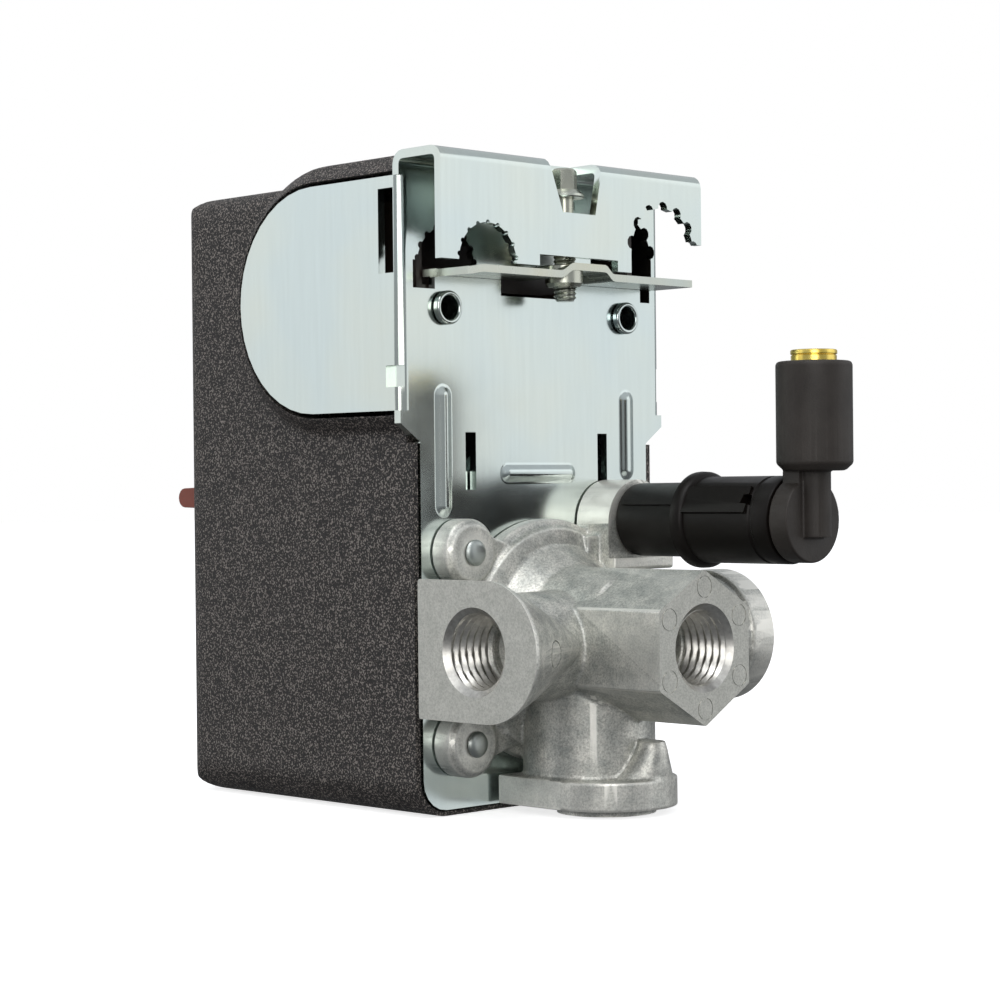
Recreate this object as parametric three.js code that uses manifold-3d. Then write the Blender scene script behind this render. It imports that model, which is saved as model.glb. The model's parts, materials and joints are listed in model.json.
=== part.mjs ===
import * as THREE from 'three';
import { mergeVertices } from 'three/addons/utils/BufferGeometryUtils.js';
import Module from 'manifold-3d';

// Air compressor pressure switch with a four-port manifold and an unloader valve.
// Millimetres, +Z up. While building, Y = 0 is the outer face of the base plate and
// the manifold points to -Y. At the end everything moves so that the origin lies
// under the middle of the whole part.

const wasm = await Module();
wasm.setup();

// ---------------------------------------------------------------- driving sizes
const GAP = 0.3;

const SHEET = 1.4;
const FRAME_HALF = 30.5;
const FRAME_TOP = 104.9;
const WIDE_BOTTOM = 62.3;
const NARROW_TOP = 59.4;
const NARROW_HALF = 26.4;
const PLATE_BOTTOM = 1.0;
const PLATE_CORNER = 5.0;

const FLANGE_MID_Y = 21.2;
const FLANGE_MID_Z = 82.7;
const FLANGE_RADIUS = 18.4;

const CHANNEL_FRONT = -9.6;
const CHANNEL_BOTTOM = 87.4;
const CHANNEL_HALF = 30.4;

const COVER_HALF = 27.7;
const COVER_BACK = 60.6;
const COVER_TOP = 102.6;
const COVER_WALL = 2.0;
const COVER_ROUND = 6.0;
const COVER_TOP_ROUND = 4.5;
const HOOD_RADIUS = 22.2;

const PORT_Z = 27.0;
const PORT_Y = -14.6;
const PORT_RIM = 6.9;
const THREAD_PITCH = 1.411;
const THREADS = 6;
const SIDE_FACE = 29.3;
const HEX_FACE = -35.7;
const HEX_RADIUS = 12.15;
const DISC_RADIUS = 19.9;

const VALVE_X = 15.8;
const VALVE_Z = 46.5;
const VALVE_BOSS_FACE = -7.5;
const ELBOW_FACE = -44.6;
const TUBE_Y = -45.0;
const TUBE_RADIUS = 6.0;
const TUBE_TOP = 71.3;
const COLLAR_NECK = 3.45;
const COLLAR_TOP = TUBE_TOP + 1.8;

const STUD_Z = 46.0;
const DIFF_Z = 65.0;
const PIVOT_Y = 12.0;
const PIVOT_Z = 12.0;
const LEVER_FRONT = 8.4;
const LEVER_SHEET = 1.6;

const SWITCH_X = -22.0;
const SWITCH_PIVOT_Y = 48.0;
const SWITCH_Z = 50.8;
const SWITCH_TIP = 66.5;

const CLAMP_SCREW_X = 0.6;
const CLAMP_SCREW_Y = -5.9;
const CLAMP_TOP = 87.0;
const CLAMP_SHEET = 1.2;

const ORIGIN_Y = (SWITCH_TIP + TUBE_Y - TUBE_RADIUS) / 2;

// ---------------------------------------------------------------- solid helpers
function closedSolid(geometry) {
  const bare = geometry.clone();
  bare.deleteAttribute('normal');
  bare.deleteAttribute('uv');
  const merged = mergeVertices(bare, 1e-4);
  const position = merged.attributes.position;
  const index = merged.index.array;
  const faces = [];
  let volume = 0;
  const a = new THREE.Vector3();
  const b = new THREE.Vector3();
  const c = new THREE.Vector3();
  for (let i = 0; i < index.length; i += 3) {
    const [p, q, r] = [index[i], index[i + 1], index[i + 2]];
    if (p === q || q === r || p === r) continue;
    faces.push(p, q, r);
    a.fromBufferAttribute(position, p);
    b.fromBufferAttribute(position, q);
    c.fromBufferAttribute(position, r);
    volume += a.dot(b.cross(c));
  }
  if (volume < 0) faces.reverse();
  merged.setIndex(faces);
  return merged;
}

function toSolid(item) {
  if (!item.isBufferGeometry) return item;
  const clean = closedSolid(item);
  const mesh = new wasm.Mesh({
    numProp: 3,
    vertProperties: Float32Array.from(clean.attributes.position.array),
    triVerts: Uint32Array.from(clean.index.array),
  });
  return new wasm.Manifold(mesh);
}

function toGeometry(item) {
  if (item.isBufferGeometry) return closedSolid(item);
  const mesh = item.getMesh();
  const geometry = new THREE.BufferGeometry();
  geometry.setAttribute('position', new THREE.BufferAttribute(Float32Array.from(mesh.vertProperties), 3));
  geometry.setIndex(Array.from(mesh.triVerts));
  return geometry;
}

function join(first, ...others) {
  return others.reduce((sum, item) => sum.add(toSolid(item)), toSolid(first));
}

function cut(first, ...others) {
  return others.reduce((rest, item) => rest.subtract(toSolid(item)), toSolid(first));
}

function common(first, ...others) {
  return others.reduce((rest, item) => rest.intersect(toSolid(item)), toSolid(first));
}

function box(x0, x1, y0, y1, z0, z1) {
  const geometry = new THREE.BoxGeometry(x1 - x0, y1 - y0, z1 - z0);
  return geometry.translate((x0 + x1) / 2, (y0 + y1) / 2, (z0 + z1) / 2);
}

// A turned solid: profile is a list of [radius, distance along the axis].
function turned(axis, profile, centre, segments = 32) {
  const geometry = new THREE.LatheGeometry(profile.map(([r, d]) => new THREE.Vector2(r, d)), segments);
  if (axis === 'X') geometry.rotateZ(-Math.PI / 2);
  if (axis === 'Z') geometry.rotateX(Math.PI / 2);
  return geometry.translate(...centre);
}

function rod(axis, radius, from, to, centre, segments = 32) {
  return turned(axis, [[0, from], [radius, from], [radius, to], [0, to]], centre, segments);
}

function ring(axis, outer, inner, from, to, centre, segments = 32) {
  const section = [[inner, from], [outer, from], [outer, to], [inner, to], [inner, from]];
  return turned(axis, section, centre, segments);
}

function hexagon(axis, radius, from, to, centre, turn = 0) {
  const geometry = new THREE.CylinderGeometry(radius, radius, to - from, 6);
  geometry.rotateY(turn);
  geometry.translate(0, (from + to) / 2, 0);
  if (axis === 'X') geometry.rotateZ(-Math.PI / 2);
  if (axis === 'Z') geometry.rotateX(Math.PI / 2);
  return geometry.translate(...centre);
}

function outline(points) {
  return new THREE.Shape(points.map(([u, v]) => new THREE.Vector2(u, v)));
}

// Prisms: the outline is given in the two axes across the prism, in X, Y, Z order.
function prismX(shape, x0, x1, curveSegments = 10) {
  const geometry = new THREE.ExtrudeGeometry(shape, { depth: x1 - x0, bevelEnabled: false, curveSegments });
  const turn = new THREE.Matrix4().makeBasis(
    new THREE.Vector3(0, 1, 0), new THREE.Vector3(0, 0, 1), new THREE.Vector3(1, 0, 0));
  return geometry.applyMatrix4(turn).translate(x0, 0, 0);
}

function prismY(shape, y0, y1, curveSegments = 10) {
  const geometry = new THREE.ExtrudeGeometry(shape, { depth: y1 - y0, bevelEnabled: false, curveSegments });
  return geometry.rotateX(Math.PI / 2).translate(0, y1, 0);
}

function prismZ(shape, z0, z1, curveSegments = 10) {
  const geometry = new THREE.ExtrudeGeometry(shape, { depth: z1 - z0, bevelEnabled: false, curveSegments });
  return geometry.translate(0, 0, z0);
}

// A closed skin over equal rings of points, capped at both ends.
function loft(rings) {
  const count = rings[0].length;
  const points = rings.flat();
  const faces = [];
  for (let k = 0; k + 1 < rings.length; k += 1) {
    for (let i = 0; i < count; i += 1) {
      const p = k * count + i;
      const q = k * count + ((i + 1) % count);
      faces.push(p, q, q + count, p, q + count, p + count);
    }
  }
  const last = (rings.length - 1) * count;
  for (let i = 1; i + 1 < count; i += 1) {
    faces.push(0, i + 1, i, last, last + i, last + i + 1);
  }
  const geometry = new THREE.BufferGeometry();
  geometry.setAttribute('position', new THREE.Float32BufferAttribute(points.flat(), 3));
  geometry.setIndex(faces);
  return geometry;
}

function arcPoints(cu, cv, radius, from, to, steps) {
  const points = [];
  for (let i = 0; i <= steps; i += 1) {
    const angle = from + ((to - from) * i) / Math.max(steps, 1);
    points.push([cu + radius * Math.cos(angle), cv + radius * Math.sin(angle)]);
  }
  return points;
}

function roundedOutline(u0, u1, v0, v1, radii, steps = 5) {
  const [r00, r10, r11, r01] = radii;
  const quarter = Math.PI / 2;
  const points = [
    ...arcPoints(u0 + r00, v0 + r00, r00, 2 * quarter, 3 * quarter, r00 > 0 ? steps : 0),
    ...arcPoints(u1 - r10, v0 + r10, r10, 3 * quarter, 4 * quarter, r10 > 0 ? steps : 0),
    ...arcPoints(u1 - r11, v1 - r11, r11, 0, quarter, r11 > 0 ? steps : 0),
    ...arcPoints(u0 + r01, v1 - r01, r01, quarter, 2 * quarter, r01 > 0 ? steps : 0),
  ];
  return outline(points);
}

// The D outline of the side flanges in Y and Z: flat at the front, round at the back.
function flangePoints(radius, frontY, steps = 20) {
  const half = Math.PI / 2;
  return [
    [frontY, FLANGE_MID_Z + radius],
    [frontY, FLANGE_MID_Z - radius],
    ...arcPoints(FLANGE_MID_Y, FLANGE_MID_Z, radius, -half, half, steps),
  ];
}

// A coil spring along Y with the first and last half turn squared up.
class CoilPath extends THREE.Curve {
  constructor(radius, from, to, turns) {
    super();
    Object.assign(this, { radius, from, to, turns });
  }

  getPoint(t) {
    const angle = t * this.turns * 2 * Math.PI;
    const along = this.from + (this.to - this.from) * THREE.MathUtils.smoothstep(t, -0.12, 1.12);
    return new THREE.Vector3(this.radius * Math.cos(angle), along, this.radius * Math.sin(angle));
  }
}

function coilSpring({ radius, wire, from, to, turns, x, z }) {
  const section = new THREE.Shape();
  section.absarc(0, 0, wire, 0, 2 * Math.PI);
  const path = new CoilPath(radius, from, to, turns);
  const steps = Math.round(turns * 10);
  const options = { steps, curveSegments: 3, extrudePath: path, bevelEnabled: false };
  return new THREE.ExtrudeGeometry(section, options).translate(x, 0, z);
}

// ---------------------------------------------------------------- materials
function material(color, roughness, metalness) {
  return () => new THREE.MeshStandardMaterial({ color, roughness, metalness });
}

const zincSteel = material(0xc9d3d2, 0.3, 0.9);
const yellowZinc = material(0xcfc9ae, 0.35, 0.9);
const castAluminium = material(0xa6a8a1, 0.55, 0.8);
const springSteel = material(0x9fa3a6, 0.35, 0.9);
const coverPlastic = material(0x3b3735, 0.75, 0.0);
const valvePlastic = material(0x25221f, 0.5, 0.0);
const connectorPlastic = material(0x3a3836, 0.6, 0.0);
const phenolic = material(0x2b211c, 0.6, 0.0);
const redPlastic = material(0xa8422a, 0.5, 0.0);
const brass = material(0xc9a043, 0.3, 0.9);
const rubber = material(0x191919, 0.85, 0.0);

const group = new THREE.Group();
group.name = 'pressure_switch';

function addPart(name, item, finish) {
  const geometry = toGeometry(item).translate(0, -ORIGIN_Y, 0);
  geometry.computeVertexNormals();
  const mesh = new THREE.Mesh(geometry, finish());
  mesh.name = name;
  group.add(mesh);
}

// ---------------------------------------------------------------- folded frame
const RIVETS = [[-18.9, 41.8], [-18.9, 11.5], [18.9, 11.5]];
const EYELETS = [[-20.8, 80.7], [20.8, 80.7]];
const ENTRIES = [
  { x: -20.4, z: 87.2, radius: 6.3, teeth: 9, tooth: 0.42 },
  { x: 20.6, z: 90.7, radius: 7.9, teeth: 7, tooth: 1.15 },
];

function entryCut({ x, z, radius, teeth, tooth }, y0, y1, bottom) {
  let hole = join(
    rod('Y', radius, y0, y1, [x, 0, z], 40),
    box(x - radius, x + radius, y0, y1, bottom, z),
  );
  for (let i = 0; i < teeth; i += 1) {
    const angle = (Math.PI * (i + 0.5)) / teeth;
    const centre = [x + radius * Math.cos(angle), 0, z + radius * Math.sin(angle)];
    hole = hole.add(toSolid(rod('Y', tooth, y0, y1, centre, 10)));
  }
  return hole;
}

function buildFrame() {
  const top = CHANNEL_BOTTOM + 6;
  const corners = [PLATE_CORNER, PLATE_CORNER, 0, 0];
  const plate = join(
    prismY(roundedOutline(-NARROW_HALF, NARROW_HALF, PLATE_BOTTOM, 61, corners), 0, SHEET),
    prismY(outline([
      [-NARROW_HALF, NARROW_TOP], [NARROW_HALF, NARROW_TOP], [FRAME_HALF, WIDE_BOTTOM],
      [FRAME_HALF, top], [-FRAME_HALF, top], [-FRAME_HALF, WIDE_BOTTOM],
    ]), 0, SHEET),
  );

  // The side flanges are folded back from the plate round a small bend.
  const bend = 1.8;
  const outer = [
    [-FRAME_HALF, 45],
    ...arcPoints(-FRAME_HALF + bend, bend, bend, Math.PI, 1.5 * Math.PI, 4),
    ...arcPoints(FRAME_HALF - bend, bend, bend, 1.5 * Math.PI, 2 * Math.PI, 4),
    [FRAME_HALF, 45],
  ];
  const inset = FRAME_HALF - SHEET;
  const inner = [
    [inset, 45],
    ...arcPoints(inset - 0.4, SHEET + 0.4, 0.4, 2 * Math.PI, 1.5 * Math.PI, 2),
    ...arcPoints(-inset + 0.4, SHEET + 0.4, 0.4, 1.5 * Math.PI, Math.PI, 2),
    [-inset, 45],
  ];
  const folded = prismZ(outline([...outer, ...inner]), 50, FRAME_TOP);
  const flanges = common(folded, prismX(outline(flangePoints(FLANGE_RADIUS, -1)), -32, 32));
  const flangeBottom = FLANGE_MID_Z - FLANGE_RADIUS;
  const flangeTop = FLANGE_MID_Z + FLANGE_RADIUS;
  const foldRound = cut(
    box(-FRAME_HALF - 1, FRAME_HALF + 1, -1, bend, flangeBottom, flangeTop),
    prismZ(outline([...outer.slice(1, -1), [FRAME_HALF, 9], [-FRAME_HALF, 9]]), 50, FRAME_TOP),
  );

  // The strain relief channel is folded forward over the top of the plate.
  const roll = 2.2;
  const outside = [
    [SHEET, top - 1],
    ...arcPoints(SHEET - roll, FRAME_TOP - roll, roll, 0, Math.PI / 2, 4),
    ...arcPoints(CHANNEL_FRONT + roll, FRAME_TOP - roll, roll, Math.PI / 2, Math.PI, 4),
    [CHANNEL_FRONT, CHANNEL_BOTTOM],
  ];
  const inside = [
    [CHANNEL_FRONT + SHEET, CHANNEL_BOTTOM],
    ...arcPoints(CHANNEL_FRONT + roll, FRAME_TOP - roll, roll - SHEET, Math.PI, Math.PI / 2, 3),
    ...arcPoints(SHEET - roll, FRAME_TOP - roll, roll - SHEET, Math.PI / 2, 0, 3),
    [0, top - 1],
  ];
  let channel = toSolid(prismX(outline([...outside, ...inside]), -CHANNEL_HALF, CHANNEL_HALF));
  const wedge = outline([[-3.5, 96.3], [4.1, 96.3], [5.6, 103.4], [5.6, 106], [-6.2, 106], [-6.2, 103.4]]);
  channel = cut(channel,
    prismY(wedge, -11, -2.4),
    box(-8.9, 9.4, -11, -7, 86, 89.2),
    entryCut(ENTRIES[0], -11, -7, 86),
    entryCut(ENTRIES[1], -11, -7, 86),
    box(25, 32, -11, -7, 86, 93),
  );

  const seat = cut(
    box(-3.0, 3.6, -5.4, 0.5, 97.4, 98.8),
    rod('Z', 2.15, 96, 100, [CLAMP_SCREW_X, CLAMP_SCREW_Y, 0], 20),
  );

  let frame = cut(join(plate, flanges, channel), foldRound);
  frame = frame.add(toSolid(seat));

  // Stiffening beads and the round-ended bar are pressed forward out of the plate.
  for (const side of [-1, 1]) {
    const bead = outline([
      ...arcPoints(side * 21.4, 66.6, 1.8, 0, Math.PI, 5),
      ...arcPoints(side * 21.4, side < 0 ? 49.4 : 55.0, 1.8, Math.PI, 2 * Math.PI, 5),
    ]);
    frame = frame.add(toSolid(prismY(bead, -0.7, 0.3)));
  }
  const bar = outline([
    ...arcPoints(-7.1, 54.4, 1.45, Math.PI / 2, 1.5 * Math.PI, 5),
    ...arcPoints(7.1, 54.4, 1.45, -Math.PI / 2, Math.PI / 2, 5),
  ]);
  frame = frame.add(toSolid(prismY(bar, -0.7, 0.3)));

  // Windows, slots, relief notches and the holes for rivets, eyelets and push pins.
  frame = cut(frame,
    common(entryCut({ ...ENTRIES[0], tooth: 0.6 }, -1, 3, 86.8), box(-30, 0, -1, 3, 86.4, 99)),
    common(entryCut({ ...ENTRIES[1], radius: 7.6 }, -1, 3, 86.8), box(0, 30, -1, 3, 87.4, 100)),
    box(-27.6, -22.9, -1, 3, 83.6, 88),
    box(25.3, 27.7, -1, 3, 83.6, 88),
    box(-8.25, 8.25, -1, 3, 83.2, 87.0),
    box(-16.55, -14.25, -1, 3, 51.8, 61.0),
    box(14.25, 16.55, -1, 3, 51.8, 61.0),
    box(-32, -29.4, -1, 3.3, 68.0, 71.4),
    box(29.4, 32, -1, 3.3, 66.6, 72.3),
    box(-32, -28, 1.4, 4.8, 85.9, 99.2),
    rod('Y', 13.0, -1, 3, [0, 0, PORT_Z], 40),
    rod('Y', 2.0, -1, 3, [VALVE_X, 0, VALVE_Z], 16),
    ...RIVETS.map(([x, z]) => rod('Y', 2.0, -1, 3, [x, 0, z], 16)),
    ...EYELETS.map(([x, z]) => rod('Y', 2.65, -1, 3, [x, 0, z], 20)),
  );
  return frame;
}
addPart('frame', buildFrame(), zincSteel);

// ---------------------------------------------------------------- cover
// The cover's block form, rounded at the back and along its long edges, set in by inset.
function coverForm(inset, front, round, topRound, steps) {
  const half = COVER_HALF - inset;
  const back = COVER_BACK - inset;
  const top = COVER_TOP - inset;
  const side = roundedOutline(front, back, inset, top, [0, round, round, 0], steps);
  const face = roundedOutline(-half, half, inset, top, [round, round, topRound, topRound], steps);
  const plan = roundedOutline(-half, half, front, back, [0, 0, round, round], steps);
  return common(prismX(side, -half, half), prismY(face, front, back), prismZ(plan, inset, top));
}

function buildCover() {
  const blockFront = 0.3;
  const hoodFront = SHEET + GAP + 0.05;
  const shell = coverForm(0, blockFront, COVER_ROUND, COVER_TOP_ROUND, 6);
  const cavity = coverForm(COVER_WALL, -1, 2.5, 2, 3);

  const hoodRings = [[-30.3, 19.3], [-27.2, HOOD_RADIUS], [27.2, HOOD_RADIUS], [30.3, 19.3]];
  const hood = loft(hoodRings.map(([x, r]) => flangePoints(r, hoodFront).map(([y, z]) => [x, y, z])));
  const inner = COVER_HALF - COVER_WALL;
  const hoodCavity = prismX(outline(flangePoints(HOOD_RADIUS - COVER_WALL, -1)), -inner, inner);
  const sideOpening = prismX(outline(flangePoints(FLANGE_RADIUS + 0.35, -1)), -32, 32);
  const pocketHalf = NARROW_HALF + GAP;
  const pocketCorners = [PLATE_CORNER + GAP, PLATE_CORNER + GAP, 0, 0];
  const pocket = roundedOutline(-pocketHalf, pocketHalf, PLATE_BOTTOM - GAP, 61, pocketCorners);
  return cut(join(shell, hood),
    cavity, hoodCavity, sideOpening, prismY(pocket, -1, hoodFront),
    box(-33, 33, -1, hoodFront, NARROW_TOP - 0.2, 110),
    box(SWITCH_X - 2.3, SWITCH_X + 2.3, 55, 62, 44.0, 57.6),
    rod('Y', 2.0, 55, 62, [20, 0, 20], 16),
  );
}
addPart('cover', buildCover(), coverPlastic);

// ---------------------------------------------------------------- manifold casting
function portBore(axis, sign, face, centre) {
  const profile = [[0, 1], [PORT_RIM + 0.9, 1], [PORT_RIM, 0], [PORT_RIM - 0.75, -0.7]];
  const crest = 5.75;
  const root = 6.5;
  for (let i = 0; i < THREADS; i += 1) {
    const start = -0.9 - i * THREAD_PITCH;
    const taper = i * THREAD_PITCH / 32;
    profile.push([crest - taper, start]);
    profile.push([root - taper, start - THREAD_PITCH / 2]);
  }
  const end = -0.9 - THREADS * THREAD_PITCH;
  profile.push([crest - 0.4, end], [crest - 0.4, end - 0.6], [0, end - 0.6]);
  const placed = profile.map(([r, d]) => [r, sign * d + face]);
  return turned(axis, placed, centre, 20);
}

function circlePoints(axis, along, cu, cv, radius, count = 28) {
  const points = [];
  for (let i = 0; i < count; i += 1) {
    const angle = (2 * Math.PI * i) / count;
    const u = cu + radius * Math.cos(angle);
    const v = cv + radius * Math.sin(angle);
    points.push(axis === 'X' ? [along, u, v] : [u, v, along]);
  }
  return points;
}

function buildManifold() {
  const back = -GAP;
  const disc = turned('Y', [
    [0, back], [DISC_RADIUS, back], [DISC_RADIUS, -2.6], [DISC_RADIUS - 1.2, -2.9],
    [DISC_RADIUS - 1.5, -4.2], [15.5, -5.0], [12.2, -9.0], [11.0, -20.0], [0, -20.0],
  ], [0, 0, PORT_Z], 44);
  const barrel = rod('Z', 10.6, 4.0, PORT_Z, [0, -10.9, 0], 32);
  const hexPort = hexagon('Y', HEX_RADIUS, HEX_FACE, -8, [0, 0, PORT_Z]);

  const faceOutline = outline([
    [-2.2, 38.0], [-2.2, 16.2],
    ...arcPoints(-17.2, 27.1, 10.9, -Math.PI / 2, -1.5 * Math.PI, 16),
  ]);
  const leftFace = prismX(faceOutline, -SIDE_FACE, -SIDE_FACE + 4.5);
  const leftTaper = loft([
    circlePoints('X', -26, -17.0, 27.0, 10.6),
    circlePoints('X', -8.5, -18.6, 27.0, 3.0),
  ]);
  const sideTube = rod('X', 8.6, -26, 26, [0, -11.6, PORT_Z], 28);
  const rightFace = rod('X', 11.0, SIDE_FACE - 5.0, SIDE_FACE, [0, PORT_Y, PORT_Z], 32);
  const rightTaper = loft([
    circlePoints('X', 8.5, -18.6, 27.0, 3.0),
    circlePoints('X', 26, PORT_Y, 27.0, 10.8),
  ]);

  const footOutline = outline([
    [11.1, -1.0], [-11.1, -1.0],
    ...arcPoints(0, -15.0, 11.1, Math.PI, 2 * Math.PI, 16),
  ]);
  const foot = prismZ(footOutline, 1.1, 5.6);
  const footRing = rod('Z', 8.0, 0, 2, [0, PORT_Y, 0], 28);
  const footRib = loft([
    circlePoints('Z', 4.5, 0, -18.9, 7.0),
    circlePoints('Z', 9.0, 0, -20.2, 4.4),
    circlePoints('Z', 12.8, 0, -20.0, 3.2),
  ]);

  const valveBoss = join(
    rod('Y', 7.3, VALVE_BOSS_FACE, back, [16.0, 0, 45.9], 32),
    box(8.7, 23.3, VALVE_BOSS_FACE, back, 38.2, 45.9),
    box(6.0, 20.0, -5.5, back, 36, 44),
  );
  const ears = RIVETS.map(([x, z]) => join(
    rod('Y', 5.4, -3.6, back, [x, 0, z], 24),
    rod('Y', 4.8, -4.2, -3, [x, 0, z], 24),
    prismY(outline([
      [x, z - 4 * Math.sign(z - PORT_Z)], [x * 0.55, z - 9 * Math.sign(z - PORT_Z)],
      [x * 0.3, z], [x, z + 4 * Math.sign(z - PORT_Z)],
    ]), -3.2, back),
  ));

  const body = join(disc, barrel, hexPort, leftFace, leftTaper, sideTube, rightFace, rightTaper,
    foot, footRing, footRib, valveBoss, ...ears);
  return cut(body,
    portBore('X', -1, -SIDE_FACE, [0, PORT_Y, PORT_Z]),
    portBore('X', 1, SIDE_FACE, [0, PORT_Y, PORT_Z]),
    portBore('Y', -1, HEX_FACE, [0, 0, PORT_Z]),
    portBore('Z', -1, 0, [0, PORT_Y, 0]),
    rod('X', 3.0, -20, 20, [0, PORT_Y, PORT_Z], 16),
    rod('Y', 3.0, -26, -3, [0, 0, PORT_Z], 16),
    rod('Z', 3.0, 8, PORT_Z, [0, PORT_Y, 0], 16),
    rod('Y', 17.4, -1.9, 1, [0, 0, PORT_Z], 40),
    rod('Y', 12.5, -3.2, 1, [0, 0, PORT_Z], 32),
    rod('Y', 5.2, -9, -3.2, [VALVE_X, 0, VALVE_Z], 24),
    rod('Y', 1.9, -9, 1, [VALVE_X, 0, VALVE_Z], 16),
    ...RIVETS.map(([x, z]) => rod('Y', 2.0, -9, 1, [x, 0, z], 16)),
  );
}
addPart('manifold', buildManifold(), castAluminium);

// ---------------------------------------------------------------- fasteners through the plate
RIVETS.forEach(([x, z], i) => {
  const profile = [
    [0, -5.6], [1.7, -5.4], [2.3, -4.9], [2.3, -4.5], [1.75, -4.5], [1.75, 1.7],
    [3.0, 1.7], [2.8, 2.6], [0, 2.6],
  ];
  addPart(`manifold_rivet_${i + 1}`, turned('Y', profile, [x, 0, z], 20), zincSteel);
});

EYELETS.forEach(([x, z], i) => {
  const profile = [
    [1.9, -2.2], [2.45, -2.2], [2.7, -1.9], [2.7, -0.3], [2.35, -0.3], [2.35, 4.6],
    [1.9, 4.6], [1.9, -2.2],
  ];
  addPart(`block_eyelet_${i + 1}`, turned('Y', profile, [x, 0, z], 24), zincSteel);
});

// ---------------------------------------------------------------- cable clamp
function buildClampPlate() {
  const t = CLAMP_SHEET;
  const hump = 1.4;
  const upper = [
    [-24.3, -0.5], [-20.5, 0], [-3.4, 0], [-0.2, hump], [7.0, hump], [9.2, 0.1], [12.5, 0], [28.6, 0],
  ];
  const lower = upper.slice().reverse().map(([x, z]) => [x, z - t]);
  const strip = new THREE.Shape([...upper, ...lower].map(([x, z]) => new THREE.Vector2(x, CLAMP_TOP + z)));
  let plate = toSolid(prismY(strip, CHANNEL_FRONT + 0.6, -GAP - 0.1));
  const tabZ = [CLAMP_TOP - t, CLAMP_TOP];
  plate = join(plate,
    box(-24.2, -23.2, -1.5, SHEET, ...tabZ),
    box(25.8, 27.2, -1.5, SHEET, ...tabZ),
    rod('Z', 3.1, CLAMP_TOP - t - 1.2, CLAMP_TOP + hump - 0.2, [CLAMP_SCREW_X, CLAMP_SCREW_Y + 0.2, 0], 20),
  );
  return cut(plate, rod('Z', 2.05, CLAMP_TOP - 5, CLAMP_TOP + 5, [CLAMP_SCREW_X, CLAMP_SCREW_Y, 0], 20));
}
addPart('cable_clamp', buildClampPlate(), yellowZinc);

const clampScrew = join(
  turned('Z', [
    [0, 82.3], [1.4, 82.3], [1.95, 82.9], [1.95, 92.0], [1.5, 92.6], [1.5, 99.1], [3.3, 99.1],
    [3.3, 99.8], [2.4, 100.4], [0, 100.4],
  ], [CLAMP_SCREW_X, CLAMP_SCREW_Y, 0], 20),
  hexagon('Z', 2.2, 100.0, 103.9, [CLAMP_SCREW_X, CLAMP_SCREW_Y, 0]),
);
addPart('clamp_screw', clampScrew, yellowZinc);

// ---------------------------------------------------------------- pressure side
addPart('diaphragm', turned('Y', [
  [0, -1.2], [11.0, -1.2], [12.0, -1.6], [17.0, -1.6], [17.0, -0.35], [12.5, -0.35], [11.5, -0.6], [0, -0.6],
], [0, 0, PORT_Z], 28), rubber);

addPart('plunger', turned('Y', [
  [0, -0.25], [11.0, -0.25], [12.2, 0.6], [12.2, 2.2], [5.5, 3.0], [4.0, 3.6], [4.0, 8.0], [0, 8.0],
], [0, 0, PORT_Z], 32), brass);

// ---------------------------------------------------------------- main lever on its pivot
function buildMainLever() {
  const back = LEVER_FRONT + LEVER_SHEET;
  const face = outline([
    [-13, 10], [13, 10], [13, 41], [18.6, 43], [18.6, 50], [13, 52], [7.0, 58], [7.0, 80.0],
    [-7.0, 80.0], [-7.0, 58], [-13, 52],
  ]);
  const blade = prismY(face, LEVER_FRONT, back);
  const ear = outline([
    [LEVER_FRONT, 22], [LEVER_FRONT, 9],
    ...arcPoints(PIVOT_Y + 0.4, PIVOT_Z, 3.4, -Math.PI / 2, Math.PI / 2, 8),
  ]);
  return cut(
    join(blade, prismX(ear, -13, -11.4), prismX(ear, 11.4, 13)),
    rod('X', 1.56, -15, 15, [0, PIVOT_Y, PIVOT_Z], 24),
    rod('Y', 4.4, 5, 12, [0, 0, STUD_Z], 24),
    rod('Y', 3.2, 5, 12, [0, 0, DIFF_Z], 20),
  );
}
addPart('main_lever', buildMainLever(), zincSteel);
addPart('lever_pivot_pin', rod('X', 1.5, -16.8, 16.8, [0, PIVOT_Y, PIVOT_Z], 24), springSteel);

function buildPivotBracket() {
  const y0 = SHEET + GAP + 0.05;
  const side = outline([
    [y0, 7.5], [PIVOT_Y, 7.5], ...arcPoints(PIVOT_Y, PIVOT_Z, 4.0, -Math.PI / 2, Math.PI / 2, 8), [y0, 16],
  ]);
  return cut(
    join(box(-15.4, 15.4, y0, y0 + 1.4, 4.2, 12.0), prismX(side, -15.4, -14.0), prismX(side, 14.0, 15.4)),
    rod('X', 1.6, -17, 17, [0, PIVOT_Y, PIVOT_Z], 24),
  );
}
addPart('pivot_bracket', buildPivotBracket(), zincSteel);

// ---------------------------------------------------------------- range spring set
const PLATE_INNER = SHEET + GAP + 0.05;

addPart('range_stud', turned('Y', [
  [0, PLATE_INNER], [6.0, PLATE_INNER], [6.0, 3.4], [3.0, 3.6], [3.0, 49.4], [2.4, 50.0], [0, 50.0],
], [0, 0, STUD_Z], 24), springSteel);
addPart('range_spring', coilSpring({
  radius: 8.2, wire: 1.3, from: 11.7, to: 36.0, turns: 6, x: 0, z: STUD_Z,
}), springSteel);
addPart('range_seat', turned('Y', [
  [3.3, 37.7], [6.2, 37.7], [6.4, 37.7], [9.6, 37.7], [9.6, 39.2], [3.3, 39.2], [3.3, 37.7],
], [0, 0, STUD_Z], 28), zincSteel);
addPart('range_nut', cut(
  hexagon('Y', 5.77, 39.5, 44.5, [0, 0, STUD_Z]),
  rod('Y', 3.05, 38, 46, [0, 0, STUD_Z], 24),
), yellowZinc);

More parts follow.
